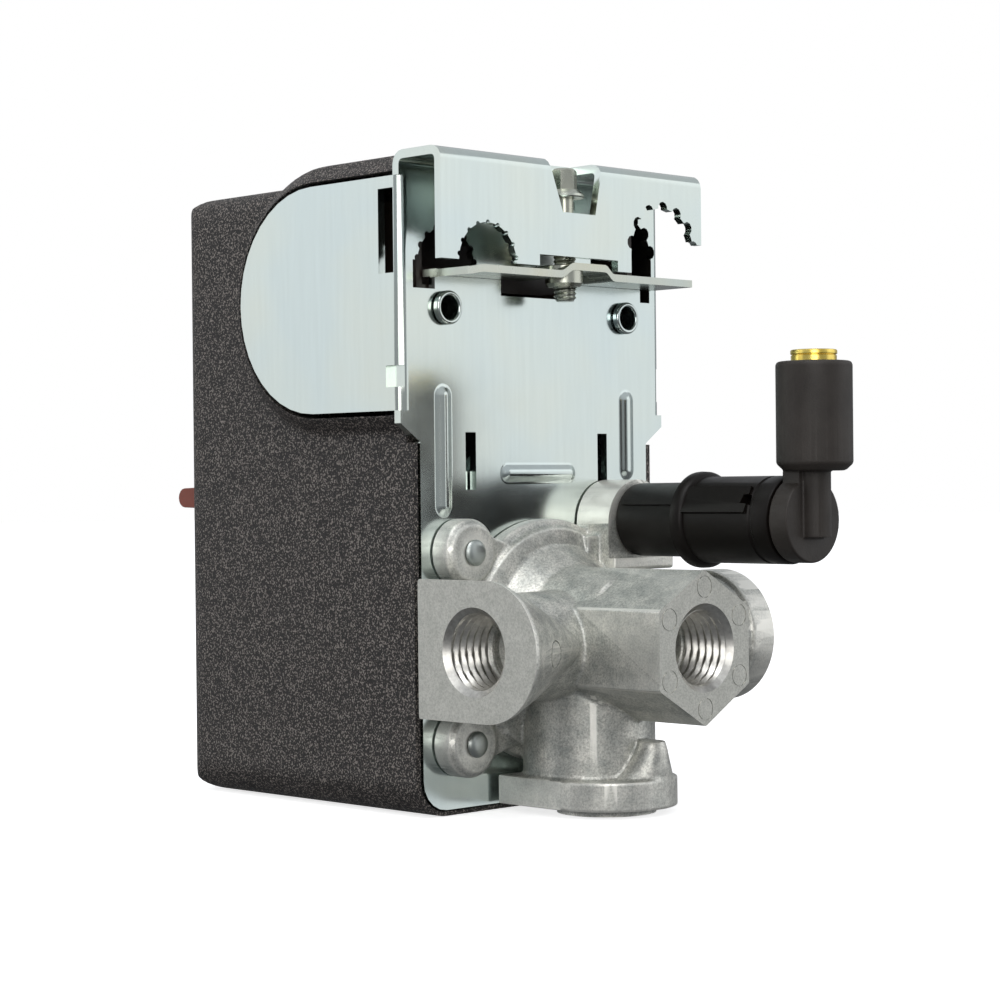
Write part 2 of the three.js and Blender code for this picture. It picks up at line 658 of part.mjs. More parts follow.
// ---------------------------------------------------------------- differential spring set
addPart('differential_stud', turned('Y', [
  [0, PLATE_INNER], [4.0, PLATE_INNER], [4.0, 3.0], [2.0, 3.2], [2.0, 35.6], [1.6, 36.0], [0, 36.0],
], [0, 0, DIFF_Z], 20), springSteel);
addPart('differential_spring', coilSpring({
  radius: 4.1, wire: 0.7, from: 11.0, to: 26.0, turns: 5, x: 0, z: DIFF_Z,
}), springSteel);
addPart('differential_seat', ring('Y', 5.2, 2.3, 27.0, 28.0, [0, 0, DIFF_Z], 24), zincSteel);
addPart('differential_nut', cut(
  hexagon('Y', 4.04, 28.3, 31.5, [0, 0, DIFF_Z]),
  rod('Y', 2.05, 27, 33, [0, 0, DIFF_Z], 20),
), yellowZinc);

// ---------------------------------------------------------------- contact block
const TERMINALS = [-20.4, -11.6, 11.6, 20.4];
const BLOCK_BACK = 24.0;

function buildContactBlock() {
  const body = box(-25.2, 25.2, SHEET + GAP + 0.1, BLOCK_BACK, 71.0, 98.0);
  const barriers = [-16.0, 16.0].map(
    (x) => box(x - 0.8, x + 0.8, BLOCK_BACK - 1, BLOCK_BACK + 8, 84.0, 98.0),
  );
  return cut(join(body, ...barriers),
    box(-7.6, 7.6, 0, 40, 70, 84.5),
    box(-24, 24, -1, 12.6, 88.0, 99),
    box(-24, 24, -1, 8.0, 84.4, 89),
    ...EYELETS.map(([x, z]) => rod('Y', 2.65, -1, 6, [x, 0, z], 20)),
    ...TERMINALS.map((x) => rod('Y', 1.9, 17, 30, [x, 0, 91.5], 14)),
  );
}
addPart('contact_block', buildContactBlock(), phenolic);

TERMINALS.forEach((x, i) => {
  const plate = cut(
    box(x - 3.3, x + 3.3, BLOCK_BACK + GAP, BLOCK_BACK + 1.3, 75.5, 96.5),
    rod('Y', 1.9, 20, 30, [x, 0, 91.5], 14),
  );
  const button = rod('Y', 1.6, BLOCK_BACK + 1.0, BLOCK_BACK + 1.9, [x, 0, 79.0], 14);
  addPart(`terminal_plate_${i + 1}`, join(plate, button), brass);
  const screw = cut(
    turned('Y', [
      [0, 17.6], [1.55, 17.6], [1.55, BLOCK_BACK + 1.6], [3.3, BLOCK_BACK + 1.6], [3.3, BLOCK_BACK + 3.4],
      [2.7, BLOCK_BACK + 4.0], [0, BLOCK_BACK + 4.0],
    ], [x, 0, 91.5], 18),
    box(x - 4, x + 4, BLOCK_BACK + 3.0, BLOCK_BACK + 5, 91.1, 91.9),
  );
  addPart(`terminal_screw_${i + 1}`, screw, zincSteel);
});

// ---------------------------------------------------------------- moving contacts
const BRIDGE_FRONT = BLOCK_BACK + 2.2;

const carrier = cut(
  join(
    box(-6.8, 6.8, LEVER_FRONT + LEVER_SHEET + GAP, BRIDGE_FRONT + 6.0, 75.0, 83.0),
    box(-11.0, 11.0, BRIDGE_FRONT + 3.4, BRIDGE_FRONT + 6.0, 76.0, 82.0),
  ),
  box(-5.0, 5.0, 14, BRIDGE_FRONT + 2.0, 70, 80.5),
);
addPart('contact_carrier', carrier, phenolic);

[-1, 1].forEach((side) => {
  const name = side < 0 ? 'left' : 'right';
  const near = side * 7.1;
  const far = side * 23.6;
  const bar = box(Math.min(near, far), Math.max(near, far), BRIDGE_FRONT, BRIDGE_FRONT + 1.2, 77.0, 81.0);
  addPart(`contact_bridge_${name}`, bar, brass);
});

// ---------------------------------------------------------------- on/off lever
function buildSwitchLever() {
  const half = 1.6;
  const tip = SWITCH_TIP - 1.7;
  const shape = outline([
    ...arcPoints(SWITCH_PIVOT_Y, SWITCH_Z, 4.2, 0.35 * Math.PI, 1.65 * Math.PI, 14),
    [55, SWITCH_Z - 2.0],
    ...arcPoints(tip, SWITCH_Z, 1.7, -Math.PI / 2, Math.PI / 2, 8),
    [55, SWITCH_Z + 2.0],
  ]);
  const arm = box(SWITCH_X - half, SWITCH_X + half, 30.0, SWITCH_PIVOT_Y - 2, SWITCH_Z - 1.4, SWITCH_Z + 1.4);
  return cut(
    join(prismX(shape, SWITCH_X - half, SWITCH_X + half), arm),
    rod('X', 1.31, SWITCH_X - 4, SWITCH_X + 4, [0, SWITCH_PIVOT_Y, SWITCH_Z], 20),
  );
}
addPart('on_off_lever', buildSwitchLever(), redPlastic);
addPart('on_off_pin', rod('X', 1.25, -24.6, -16.8, [0, SWITCH_PIVOT_Y, SWITCH_Z], 20), springSteel);

function buildSwitchBracket() {
  const x0 = -19.9;
  const x1 = -18.7;
  const arm = box(x0, x1, PLATE_INNER, SWITCH_PIVOT_Y + 3.5, SWITCH_Z - 4, SWITCH_Z + 4);
  const toe = box(x0, x0 + 7, PLATE_INNER, PLATE_INNER + 1.2, SWITCH_Z - 4, SWITCH_Z + 4);
  return cut(join(arm, toe), rod('X', 1.35, -25, -15, [0, SWITCH_PIVOT_Y, SWITCH_Z], 20));
}
addPart('on_off_bracket', buildSwitchBracket(), zincSteel);

// ---------------------------------------------------------------- unloader valve
const BODY_END = -40.9;

function buildValveBody() {
  const outside = [
    [0, -3.7], [4.8, -3.7], [4.8, -4.7], [3.9, -4.7], [3.9, -5.9], [4.8, -5.9], [4.8, VALVE_BOSS_FACE - GAP],
    [5.5, VALVE_BOSS_FACE - GAP], [6.05, VALVE_BOSS_FACE - 1.0], [6.1, -20.6], [7.85, -21.3], [7.85, -23.5],
    [7.0, -23.8], [7.0, BODY_END + 0.5], [6.5, BODY_END], [0, BODY_END],
  ];
  const inside = [
    [0, BODY_END - 1], [4.3, BODY_END - 1], [4.3, -32.0], [3.4, -31.5], [3.4, -14.0], [1.9, -13.0],
    [1.9, -2], [0, -2],
  ];
  const centre = [VALVE_X, 0, VALVE_Z];
  return cut(turned('Y', outside, centre, 28), turned('Y', inside, centre, 18),
    rod('X', 0.8, -9, -3, [VALVE_X, -36.0, VALVE_Z + 2.2], 10));
}
addPart('unloader_body', buildValveBody(), valvePlastic);

const oRing = new THREE.TorusGeometry(4.5, 0.45, 6, 24).rotateX(Math.PI / 2);
addPart('unloader_o_ring', oRing.translate(VALVE_X, -5.3, VALVE_Z), rubber);

addPart('unloader_stem', turned('Y', [
  [0, -19.0], [2.9, -19.0], [3.1, -18.7], [3.1, -16.8], [1.5, -16.0], [1.5, 8.0], [0, 8.0],
], [VALVE_X, 0, VALVE_Z], 20), brass);
addPart('unloader_spring', coilSpring({
  radius: 2.4, wire: 0.4, from: -30.8, to: -19.8, turns: 5, x: VALVE_X, z: VALVE_Z,
}), springSteel);

function buildElbow() {
  const centre = [VALVE_X, 0, VALVE_Z];
  const head = turned('Y', [
    [0, -34.0], [4.0, -34.0], [4.0, BODY_END - GAP], [6.5, BODY_END - GAP], [6.75, BODY_END - 0.7],
    [6.75, ELBOW_FACE + 0.3], [6.45, ELBOW_FACE], [0, ELBOW_FACE],
  ], centre, 28);
  const neck = rod('Z', 2.5, VALVE_Z - 3.2, 55.5, [VALVE_X, TUBE_Y, 0], 20);
  const shoulder = box(VALVE_X - 3.4, VALVE_X + 3.4, ELBOW_FACE, -41.3, VALVE_Z, 55.0);
  const rootEnd = new THREE.SphereGeometry(2.5, 20, 10).translate(VALVE_X, TUBE_Y, VALVE_Z - 3.2);
  const socket = turned('Z', [
    [0, 54.2], [4.6, 54.2], [TUBE_RADIUS, 55.4], [TUBE_RADIUS, TUBE_TOP - 0.4], [TUBE_RADIUS - 0.4, TUBE_TOP],
    [0, TUBE_TOP],
  ], [VALVE_X, TUBE_Y, 0], 28);
  const bore = turned('Z', [
    [0, VALVE_Z - 1], [1.3, VALVE_Z - 1], [1.3, 56.2], [2.1, 56.4], [2.1, 60.0], [4.4, 60.2], [4.4, 66.4],
    [COLLAR_NECK + GAP, 66.6], [COLLAR_NECK + GAP, TUBE_TOP + 1], [0, TUBE_TOP + 1],
  ], [VALVE_X, TUBE_Y, 0], 24);
  return cut(join(head, neck, shoulder, rootEnd, socket), bore,
    rod('Y', 1.3, TUBE_Y, -30, [VALVE_X, 0, VALVE_Z], 16));
}
addPart('elbow_connector', buildElbow(), connectorPlastic);

const sealRing = new THREE.TorusGeometry(3.2, 0.85, 6, 24);
addPart('tube_seal', sealRing.translate(VALVE_X, TUBE_Y, 61.4), rubber);
addPart('grab_ring', turned('Z', [
  [2.2, 62.6], [4.2, 63.1], [4.2, 63.6], [2.2, 63.1], [2.2, 62.6],
], [VALVE_X, TUBE_Y, 0], 24), springSteel);
addPart('release_collar', turned('Z', [
  [2.1, 65.0], [COLLAR_NECK - 0.3, 65.0], [COLLAR_NECK, 65.4], [COLLAR_NECK, TUBE_TOP + 0.9],
  [3.65, TUBE_TOP + 1.05], [3.65, COLLAR_TOP - 0.15], [3.5, COLLAR_TOP], [2.5, COLLAR_TOP],
  [2.1, COLLAR_TOP - 0.5], [2.1, 65.0],
], [VALVE_X, TUBE_Y, 0], 32), brass);

// ---------------------------------------------------------------- cover fixing
addPart('cover_standoff', cut(
  hexagon('Y', 3.2, PLATE_INNER, COVER_BACK - COVER_WALL - GAP, [20, 0, 20]),
  rod('Y', 1.7, 46, 60, [20, 0, 20], 16),
), yellowZinc);
addPart('cover_screw', cut(
  turned('Y', [
    [0, 48.0], [1.6, 48.0], [1.6, COVER_BACK + GAP], [3.6, COVER_BACK + GAP], [3.6, COVER_BACK + 1.6],
    [2.9, COVER_BACK + 2.3], [0, COVER_BACK + 2.3],
  ], [20, 0, 20], 20),
  box(16, 24, COVER_BACK + 1.4, COVER_BACK + 3, 19.6, 20.4),
), zincSteel);

export default group;
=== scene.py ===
"""Looks of an air compressor pressure switch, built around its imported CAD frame.

Pieces are shaped in millimetres in the plate frame: the CAD row's frame with Y = 0 on the outer
face of the base plate. place() then turns them into metres in the row's frame.
"""

import json
import math

import bmesh
import bpy
from mathutils import Matrix, Vector


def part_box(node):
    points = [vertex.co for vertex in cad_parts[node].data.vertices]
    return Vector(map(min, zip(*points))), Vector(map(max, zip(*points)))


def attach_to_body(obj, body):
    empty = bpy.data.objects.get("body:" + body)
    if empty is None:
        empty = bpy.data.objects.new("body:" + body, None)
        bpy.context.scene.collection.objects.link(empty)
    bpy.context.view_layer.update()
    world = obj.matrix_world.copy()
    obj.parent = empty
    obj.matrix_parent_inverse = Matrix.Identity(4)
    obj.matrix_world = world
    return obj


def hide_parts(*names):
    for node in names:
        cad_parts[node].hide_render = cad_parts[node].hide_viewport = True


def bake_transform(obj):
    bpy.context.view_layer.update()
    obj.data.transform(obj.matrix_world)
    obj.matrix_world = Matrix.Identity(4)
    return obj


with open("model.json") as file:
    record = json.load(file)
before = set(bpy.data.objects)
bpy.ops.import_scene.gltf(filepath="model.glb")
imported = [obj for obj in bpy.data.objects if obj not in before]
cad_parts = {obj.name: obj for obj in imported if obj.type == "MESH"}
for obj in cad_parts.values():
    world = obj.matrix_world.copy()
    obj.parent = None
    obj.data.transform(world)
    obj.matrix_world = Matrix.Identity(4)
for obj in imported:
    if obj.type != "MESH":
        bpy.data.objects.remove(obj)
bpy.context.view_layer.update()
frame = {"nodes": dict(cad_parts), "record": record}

# ---------------------------------------------------------------- sizes
# Millimetres in the plate frame, and degrees. A pair that places something is its X and Z.
MM = 0.001
CHANNEL_DEPTH = 9.6
PLATE_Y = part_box("frame")[0].y + CHANNEL_DEPTH * MM
TO_ROW = Matrix.Translation((0, PLATE_Y, 0)) @ Matrix.Scale(MM, 4)
TO_PLATE = TO_ROW.inverted()

GAP = 0.3
SHEET = 1.4
PORT_Z = 27.0
PORT_Y = -14.6
PORT_RIM = 6.9
PORT_CORE = 5.72
PORT_ROOT = 6.55
PIPE_PITCH = 1.411
PIPE_TAPER = 1 / 32
PASSAGE_RADIUS = 3.0
SIDE_FACE = 29.3
HEX_FACE = -35.7
HEX_RADIUS = 12.15
DISC_RADIUS = 19.9
STOCK = 1.5
CUT_TOLERANCE = 0.02
RIVETS = [(-18.9, 41.8), (-18.9, 11.5), (18.9, 11.5)]
RIVET_HOLE = 2.0
EYELETS = [(-20.8, 80.7), (20.8, 80.7)]

VALVE_X = 15.8
VALVE_Z = 46.5
VALVE_BOSS_FACE = -7.5
BODY_END = -40.9
BODY_NECK = 6.1
BODY_RADIUS = 7.0
BODY_FLANGE = 7.85
RIB_TURN = -62
ELBOW_FACE = -44.6
ELBOW_HEAD = 6.75
TUBE_Y = -45.0
TUBE_RADIUS = 6.0
TUBE_TOP = 71.3
COLLAR_NECK = 3.45
COLLAR_TOP = TUBE_TOP + 1.8

CLAMP_SCREW_X = 0.6
CLAMP_SCREW_Y = -5.9
SCREW_TIP = 82.3
SCREW_CORE = 1.52
SCREW_CREST = 1.95
WASHER_Z = 99.2
SCREW_HEAD_Z = 100.0
SCREW_HEAD_TOP = 103.9
CLAMP_TOP = 87.0
CLAMP_SHEET = 1.2
CLAMP_HUMP = 1.4
CLAMP_DROOP = 0.5
CLAMP_PITCH = 0.7
CLAMP_LEFT = -24.3
CLAMP_RIGHT = 28.6

FLANGE_MID_Y = 21.2
FLANGE_MID_Z = 82.7
FLANGE_RADIUS = 18.4
COVER_HALF = 27.7
COVER_BACK = 60.6
COVER_TOP = 102.6
COVER_WALL = 2.0
HOOD_RADIUS = 22.2
HOOD_RIM = 19.3
COVER_SCREW = (20, 20)
LEVER_SLOT = ((-24.3, 44.0), (-19.7, 57.6))
BEAD_HEIGHT = 0.75

CORNER_STEPS = 8
EASE_ANGLE = 40
WIDEST_EASE = 0.12
EASE_SHARE = 0.06

# ---------------------------------------------------------------- studio
# The camera's place is in the plate frame's millimetres, the lights' places in the row's metres.
CAMERA_PLACE = (-284.37, -280.27, 52.32)
CAMERA_ANGLES = (-44.5, 0.33, -0.59)
CAMERA_LENS = 87.22
LIGHT_AIM = (0, 0, 0.05)
# Name, place, side, power and colour.
SOFTBOXES = [
    ("left_softbox", (-0.75, 0.75, 0.2), 1.1, 2.35, (1, 1, 1)),
    ("right_softbox", (0.8, -0.8, 0.25), 1.1, 2.55, (1, 1, 1)),
    ("top_softbox", (-0.35, -0.3, 0.95), 0.6, 3.4, (1, 1, 1)),
    ("front_softbox", (-0.72, -0.72, 0.3), 0.6, 2.8, (1.0, 0.98, 0.95)),
]
SKY_HEIGHTS = (-0.5, 0.6)
SKY_STRENGTHS = (0.14, 0.62)
SKY_COLOR = (0.93, 0.96, 1.0)
FLOOR_GLOW = 0.72


# ---------------------------------------------------------------- mesh helpers
def solid(points, faces):
    """A closed mesh object from points and faces, with its faces pointing out."""
    data = bpy.data.meshes.new("solid")
    data.from_pydata([tuple(p) for p in points], [], faces)
    work = bmesh.new()
    work.from_mesh(data)
    bmesh.ops.remove_doubles(work, verts=work.verts, dist=1e-5)
    bmesh.ops.recalc_face_normals(work, faces=work.faces)
    work.to_mesh(data)
    work.free()
    item = bpy.data.objects.new("solid", data)
    bpy.context.scene.collection.objects.link(item)
    return item


def on_axis(axis, u, v, along):
    """A point from its two coordinates across an axis and its one along it."""
    return {"X": (along, u, v), "Y": (u, along, v), "Z": (u, v, along)}[axis]


def arc(cu, cv, radius, start, end, steps):
    """Points on an arc, angles in degrees."""
    angles = [math.radians(start + (end - start) * i / steps) for i in range(steps + 1)]
    return [(cu + radius * math.cos(a), cv + radius * math.sin(a)) for a in angles]


def loft(rings):
    """A closed skin over rings of equally many points, capped at both ends."""
    count = len(rings[0])
    points = [p for ring in rings for p in ring]
    faces = []
    for k in range(len(rings) - 1):
        for i in range(count):
            p, q = k * count + i, k * count + (i + 1) % count
            faces.append((p, q, q + count, p + count))
    last = (len(rings) - 1) * count
    faces.append(tuple(range(count)))
    faces.append(tuple(range(last, last + count)))
    return solid(points, faces)


def prism(axis, outline, start, end):
    """An outline carried straight along an axis."""
    return loft([[on_axis(axis, u, v, along) for u, v in outline] for along in (start, end)])


def block(x0, x1, y0, y1, z0, z1):
    return prism("Z", [(x0, y0), (x1, y0), (x1, y1), (x0, y1)], z0, z1)


def rounded(u0, u1, v0, v1, radii):
    """A rectangle's outline with each corner rounded by its own radius, from the low corner on."""
    centres = [(u0, v0, 1, 1), (u1, v0, -1, 1), (u1, v1, -1, -1), (u0, v1, 1, -1)]
    outline = []
    for (u, v, du, dv), radius, start in zip(centres, radii, (180, 270, 0, 90)):
        if radius:
            outline += arc(u + du * radius, v + dv * radius, radius, start, start + 90, CORNER_STEPS)
        else:
            outline.append((u, v))
    return outline


def circle(axis, cu, cv, radius, along, count=64):
    return [on_axis(axis, u, v, along) for u, v in arc(cu, cv, radius, 0, 360, count)[:-1]]


def rod(axis, radius, start, end, cu, cv, count=64):
    return loft([circle(axis, cu, cv, radius, along, count) for along in (start, end)])


def hexagon(axis, radius, start, end, cu, cv):
    return prism(axis, arc(cu, cv, radius, 30, 330, 5), start, end)


def turned(axis, profile, cu, cv, count=72):
    """A solid of revolution. The profile's (radius, along) points start and end on the axis,
    or close on themselves for a ring."""
    is_ring = profile[0] == profile[-1]
    rows = profile[:-1] if is_ring else profile
    points, faces = [], []
    for radius, along in rows:
        points += circle(axis, cu, cv, max(radius, 1e-6), along, count)
    for k in range(len(rows) if is_ring else len(rows) - 1):
        for i in range(count):
            a, b = k * count, ((k + 1) % len(rows)) * count
            faces.append((a + i, a + (i + 1) % count, b + (i + 1) % count, b + i))
    return solid(points, faces)


def helix(axis, cu, cv, start, end, pitch, valley, peak, taper=0.0, count=48):
    """A right-handed screw surface with flat ends. Its ridge has straight flanks, fills the middle
    of the span from valley to peak, fades at both ends over its runout and may taper inwards."""
    rows = 12
    ridge_share = 0.62
    runout = 0.4 * pitch
    total = max(2, round(abs(end - start) / pitch * rows))
    rings = []
    for k in range(total + 1):
        along = start + (end - start) * k / total
        depth = abs(along - start)
        ring = []
        for i in range(count):
            turn = i / count
            phase = (along / pitch - turn) % 1.0
            height = 0.5 + ridge_share * (0.5 - 2 * abs(phase - 0.5))
            fade = min(1.0, depth / runout, abs(end - along) / runout)
            radius = valley + (peak - valley) * height * fade - taper * depth
            angle = 2 * math.pi * turn
            u, v = cu + radius * math.cos(angle), cv + radius * math.sin(angle)
            ring.append(on_axis(axis, u, v, along))
        rings.append(ring)
    return loft(rings)


def applied(item):
    """The object with its modifiers turned into mesh."""
    graph = bpy.context.evaluated_depsgraph_get()
    data = bpy.data.meshes.new_from_object(item.evaluated_get(graph))
    item.modifiers.clear()
    item.data = data
    return item


def combine(base, tools, operation):
    """Joins the tools to the base, cuts them from it or keeps what they share, and removes them."""
    for tool in tools:
        step = base.modifiers.new("combine", "BOOLEAN")
        step.operation = operation
        step.solver = "MANIFOLD"
        step.object = tool
    applied(base)
    for tool in tools:
        bpy.data.objects.remove(tool)
    return base


def join(base, *tools):
    return combine(base, tools, "UNION")


def cut(base, *tools):
    return combine(base, tools, "DIFFERENCE")


def as_cast(item, voxel, passes):
    """Rounds every edge and corner as a casting or moulding does."""
    remesh = item.modifiers.new("remesh", "REMESH")
    remesh.mode = "VOXEL"
    remesh.voxel_size = voxel
    smooth = item.modifiers.new("smooth", "SMOOTH")
    smooth.factor = 0.5
    smooth.iterations = passes
    return applied(item)


def thinned(item, degrees):
    """Dissolves the edges inside nearly flat stretches."""
    reduce = item.modifiers.new("reduce", "DECIMATE")
    reduce.decimate_type = "DISSOLVE"
    reduce.angle_limit = math.radians(degrees)
    return applied(item)


def merged(item):
    """Joins coincident points and makes flat faces whole again."""
    work = bmesh.new()
    work.from_mesh(item.data)
    bmesh.ops.remove_doubles(work, verts=work.verts, dist=1e-4)
    bmesh.ops.dissolve_limit(work, angle_limit=math.radians(0.4), verts=work.verts, edges=work.edges)
    work.to_mesh(item.data)
    work.free()
    return item


def from_cad(node):
    """A copy of a CAD node in the plate frame, with its flat faces whole again."""
    data = frame["nodes"][node].data.copy()
    data.transform(TO_PLATE)
    item = bpy.data.objects.new("copy", data)
    bpy.context.scene.collection.objects.link(item)
    return merged(item)


def eased(item, width):
    """Breaks the sharp edges by a small round."""
    bevel = item.modifiers.new("bevel", "BEVEL")
    bevel.width = width
    bevel.segments = 2
    bevel.limit_method = "ANGLE"
    bevel.angle_limit = math.radians(EASE_ANGLE)
    bevel.use_clamp_overlap = True
    bevel.miter_outer = "MITER_ARC"
    return applied(item)


SEAT_OF_SPRING = {"range_spring": "range_seat", "differential_spring": "differential_seat"}


def attach(item, body, node):
    """A setting spring is left in the row's frame on no body. Any other piece rides on its body."""
    if node not in SEAT_OF_SPRING:
        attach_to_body(item, body)
        return
    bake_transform(item)


def place(item, name, body, node, slot, *materials, sharp=32, weighted=False):
    """Names a finished piece, moves it into the row's frame and lets it stand for a CAD node."""
    item.name = name
    item.data.name = name
    item.data.transform(TO_ROW)
    for polygon in item.data.polygons:
        polygon.use_smooth = True
    item.data.set_sharp_from_angle(angle=math.radians(sharp))
    if weighted:
        normals = item.modifiers.new("normals", "WEIGHTED_NORMAL")
        normals.keep_sharp = True
        applied(item)
    item.data.materials.clear()
    for material in materials:
        item.data.materials.append(material)
    attach(item, body, node)
    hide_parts(node)


# ---------------------------------------------------------------- material helpers
class Surface:
    """A material whose patterns are sized in millimetres."""

    def __init__(self, name, color, metallic, roughness):
        self.material = bpy.data.materials.new(name)
        self.material.use_nodes = True
        self.tree = self.material.node_tree
        self.shader = self.tree.nodes["Principled BSDF"]
        self.shader.inputs["Base Color"].default_value = (*color, 1)
        self.shader.inputs["Metallic"].default_value = metallic
        self.shader.inputs["Roughness"].default_value = roughness
        self.place = self.tree.nodes.new("ShaderNodeTexCoord").outputs["Object"]
        self.normal = None

    def link(self, source, target):
        self.tree.links.new(source, target)

    def stretched(self, scale):
        """Coordinates in millimetres, multiplied along each axis."""
        mapping = self.tree.nodes.new("ShaderNodeMapping")
        mapping.inputs["Scale"].default_value = [s / MM for s in scale]
        self.link(self.place, mapping.inputs["Vector"])
        return mapping.outputs["Vector"]

    def noise(self, size, detail=3.0, along=(1, 1, 1), roughness=0.55):
        """Noise with features about size millimetres across."""
        texture = self.tree.nodes.new("ShaderNodeTexNoise")
        texture.inputs["Scale"].default_value = 1.0
        texture.inputs["Detail"].default_value = detail
        texture.inputs["Roughness"].default_value = roughness
        self.link(self.stretched([a / size for a in along]), texture.inputs["Vector"])
        return texture.outputs["Fac"]

    def ramp(self, source, *stops):
        """Colours, or greys given as one number, at positions along a value."""
        ramp = self.tree.nodes.new("ShaderNodeValToRGB")
        elements = ramp.color_ramp.elements
        while len(elements) < len(stops):
            elements.new(0.5)
        for element, (position, color) in zip(elements, stops):
            element.position = position
            grey = isinstance(color, (int, float))
            element.color = (color, color, color, 1) if grey else (*color, 1)
        self.link(source, ramp.inputs["Fac"])
        return ramp.outputs["Color"]

    def mix(self, first, second, share, blend="MIX"):
        """Two colours mixed, each a pattern's output or a tuple."""
        mix = self.tree.nodes.new("ShaderNodeMix")
        mix.data_type = "RGBA"
        mix.blend_type = blend
        if isinstance(share, (int, float)):
            mix.inputs[0].default_value = share
        else:
            self.link(share, mix.inputs[0])
        for value, target in ((first, mix.inputs[6]), (second, mix.inputs[7])):
            if isinstance(value, tuple):
                target.default_value = (*value, 1)
            else:
                self.link(value, target)
        return mix.outputs[2]

    def edges(self, reach):
        """How strongly a point lies on a raised edge, from 0 to 1 over a span of pointiness."""
        geometry = self.tree.nodes.new("ShaderNodeNewGeometry")
        return self.ramp(geometry.outputs["Pointiness"], (0.5, 0), (0.5 + reach, 1))

    def color(self, source):
        self.link(source, self.shader.inputs["Base Color"])

    def roughness(self, source, low, high):
        """Lets the roughness follow a pattern between two values."""
        span = self.tree.nodes.new("ShaderNodeMapRange")
        span.inputs["To Min"].default_value = low
        span.inputs["To Max"].default_value = high
        self.link(source, span.inputs["Value"])
        self.link(span.outputs["Result"], self.shader.inputs["Roughness"])

    def bump(self, source, height, strength):
        """Raises the surface by up to height millimetres where the pattern is bright."""
        bump = self.tree.nodes.new("ShaderNodeBump")
        bump.inputs["Strength"].default_value = strength
        bump.inputs["Distance"].default_value = height * MM
        self.link(source, bump.inputs["Height"])
        if self.normal is not None:
            self.link(self.normal, bump.inputs["Normal"])
        self.normal = bump.outputs["Normal"]
        self.link(self.normal, self.shader.inputs["Normal"])


# ---------------------------------------------------------------- materials
def make_zinc(name, light, tint, dull, roughness):
    """Zinc plating: pale, with faint coloured clouds and rolling marks along Z."""
    zinc = Surface(name, light, 1.0, roughness)
    clouds = zinc.ramp(zinc.noise(19, 2), (0.34, tint), (0.5, light), (0.68, dull))
    streaks = zinc.ramp(zinc.noise(0.8, 3, along=(1, 1, 0.05)), (0.3, 0.97), (0.7, 1.0))
    zinc.color(zinc.mix(clouds, streaks, 1.0, "MULTIPLY"))
    zinc.roughness(zinc.noise(7, 4), roughness - 0.05, roughness + 0.07)
    zinc.bump(zinc.noise(0.5, 3, along=(1, 1, 0.06)), 0.0012, 0.5)
    return zinc.material


def make_steel():
    """Plain spring steel: grey, a little uneven, satin."""
    steel = Surface("plain_steel", (0.5, 0.51, 0.52), 1.0, 0.35)
    steel.color(steel.ramp(steel.noise(1.6, 4), (0.3, (0.4, 0.4, 0.41)), (0.7, (0.58, 0.59, 0.6))))
    steel.roughness(steel.noise(0.7, 4), 0.26, 0.46)
    steel.bump(steel.noise(0.3, 3), 0.01, 0.3)
    return steel.material


def make_cast():
    """Die-cast skin: satin grey with a fine pebbled grain, clouds and pale raised edges, partly wear and
    partly a painted highlight.
    """
    cast = Surface("die_cast_skin", (0.55, 0.56, 0.52), 0.62, 0.42)
    mottle = cast.ramp(
        cast.noise(3.4, 6, roughness=0.68), (0.34, (0.46, 0.475, 0.45)), (0.5, (0.64, 0.645, 0.6)),
        (0.66, (0.82, 0.81, 0.75)),
    )
    speckle = cast.ramp(cast.noise(0.33, 5, roughness=0.7), (0.38, 0.6), (0.58, 1.0))
    skin = cast.mix(mottle, speckle, 1.0, "MULTIPLY")
    # Raised edges are paled: partly wear, partly a painted highlight.
    cast.color(cast.mix(skin, (0.92, 0.91, 0.85), cast.edges(0.07)))
    cast.roughness(cast.noise(1.3, 5), 0.3, 0.52)
    cast.bump(cast.noise(0.38, 4, roughness=0.6), 0.05, 0.7)
    cast.bump(cast.noise(2.2, 3), 0.12, 0.45)
    return cast.material


def make_faced():
    """A face struck flat by the die or the cutter: more even than the skin."""
    faced = Surface("faced_alloy", (0.55, 0.56, 0.52), 0.45, 0.48)
    base = faced.ramp(
        faced.noise(2.4, 6, roughness=0.65), (0.3, (0.5, 0.505, 0.465)), (0.7, (0.6, 0.6, 0.555)),
    )
    speckle = faced.ramp(faced.noise(0.32, 5, roughness=0.7), (0.38, 0.74), (0.58, 1.0))
    faced.color(faced.mix(base, speckle, 1.0, "MULTIPLY"))
    faced.roughness(faced.noise(1.0, 5), 0.4, 0.56)
    faced.bump(faced.noise(0.3, 4), 0.02, 0.5)
    return faced.material


def make_thread():
    """Freshly cut thread: bright, with fine tool marks."""
    thread = Surface("cut_thread", (0.76, 0.75, 0.73), 1.0, 0.25)
    wear = thread.ramp(thread.noise(0.8, 4), (0.3, (0.52, 0.51, 0.48)), (0.7, (0.74, 0.73, 0.69)))
    thread.color(wear)
    thread.roughness(thread.noise(0.5, 4), 0.24, 0.42)
    thread.bump(thread.noise(0.15, 2), 0.008, 0.3)
    return thread.material


def make_plastic(name, low, high, roughness, grain, depth, gloss=0.5):
    """Smooth moulded plastic with a faint grain and slightly wavy faces."""
    plastic = Surface(name, low, 0.0, roughness)
    plastic.shader.inputs["Specular IOR Level"].default_value = gloss
    plastic.color(plastic.ramp(plastic.noise(9, 4), (0.32, low), (0.68, high)))
    plastic.roughness(plastic.noise(2.5, 4), roughness - 0.06, roughness + 0.08)
    plastic.bump(plastic.noise(grain, 3), depth, 0.7)
    plastic.bump(plastic.noise(14, 2), 0.12, 0.15)
    return plastic.material


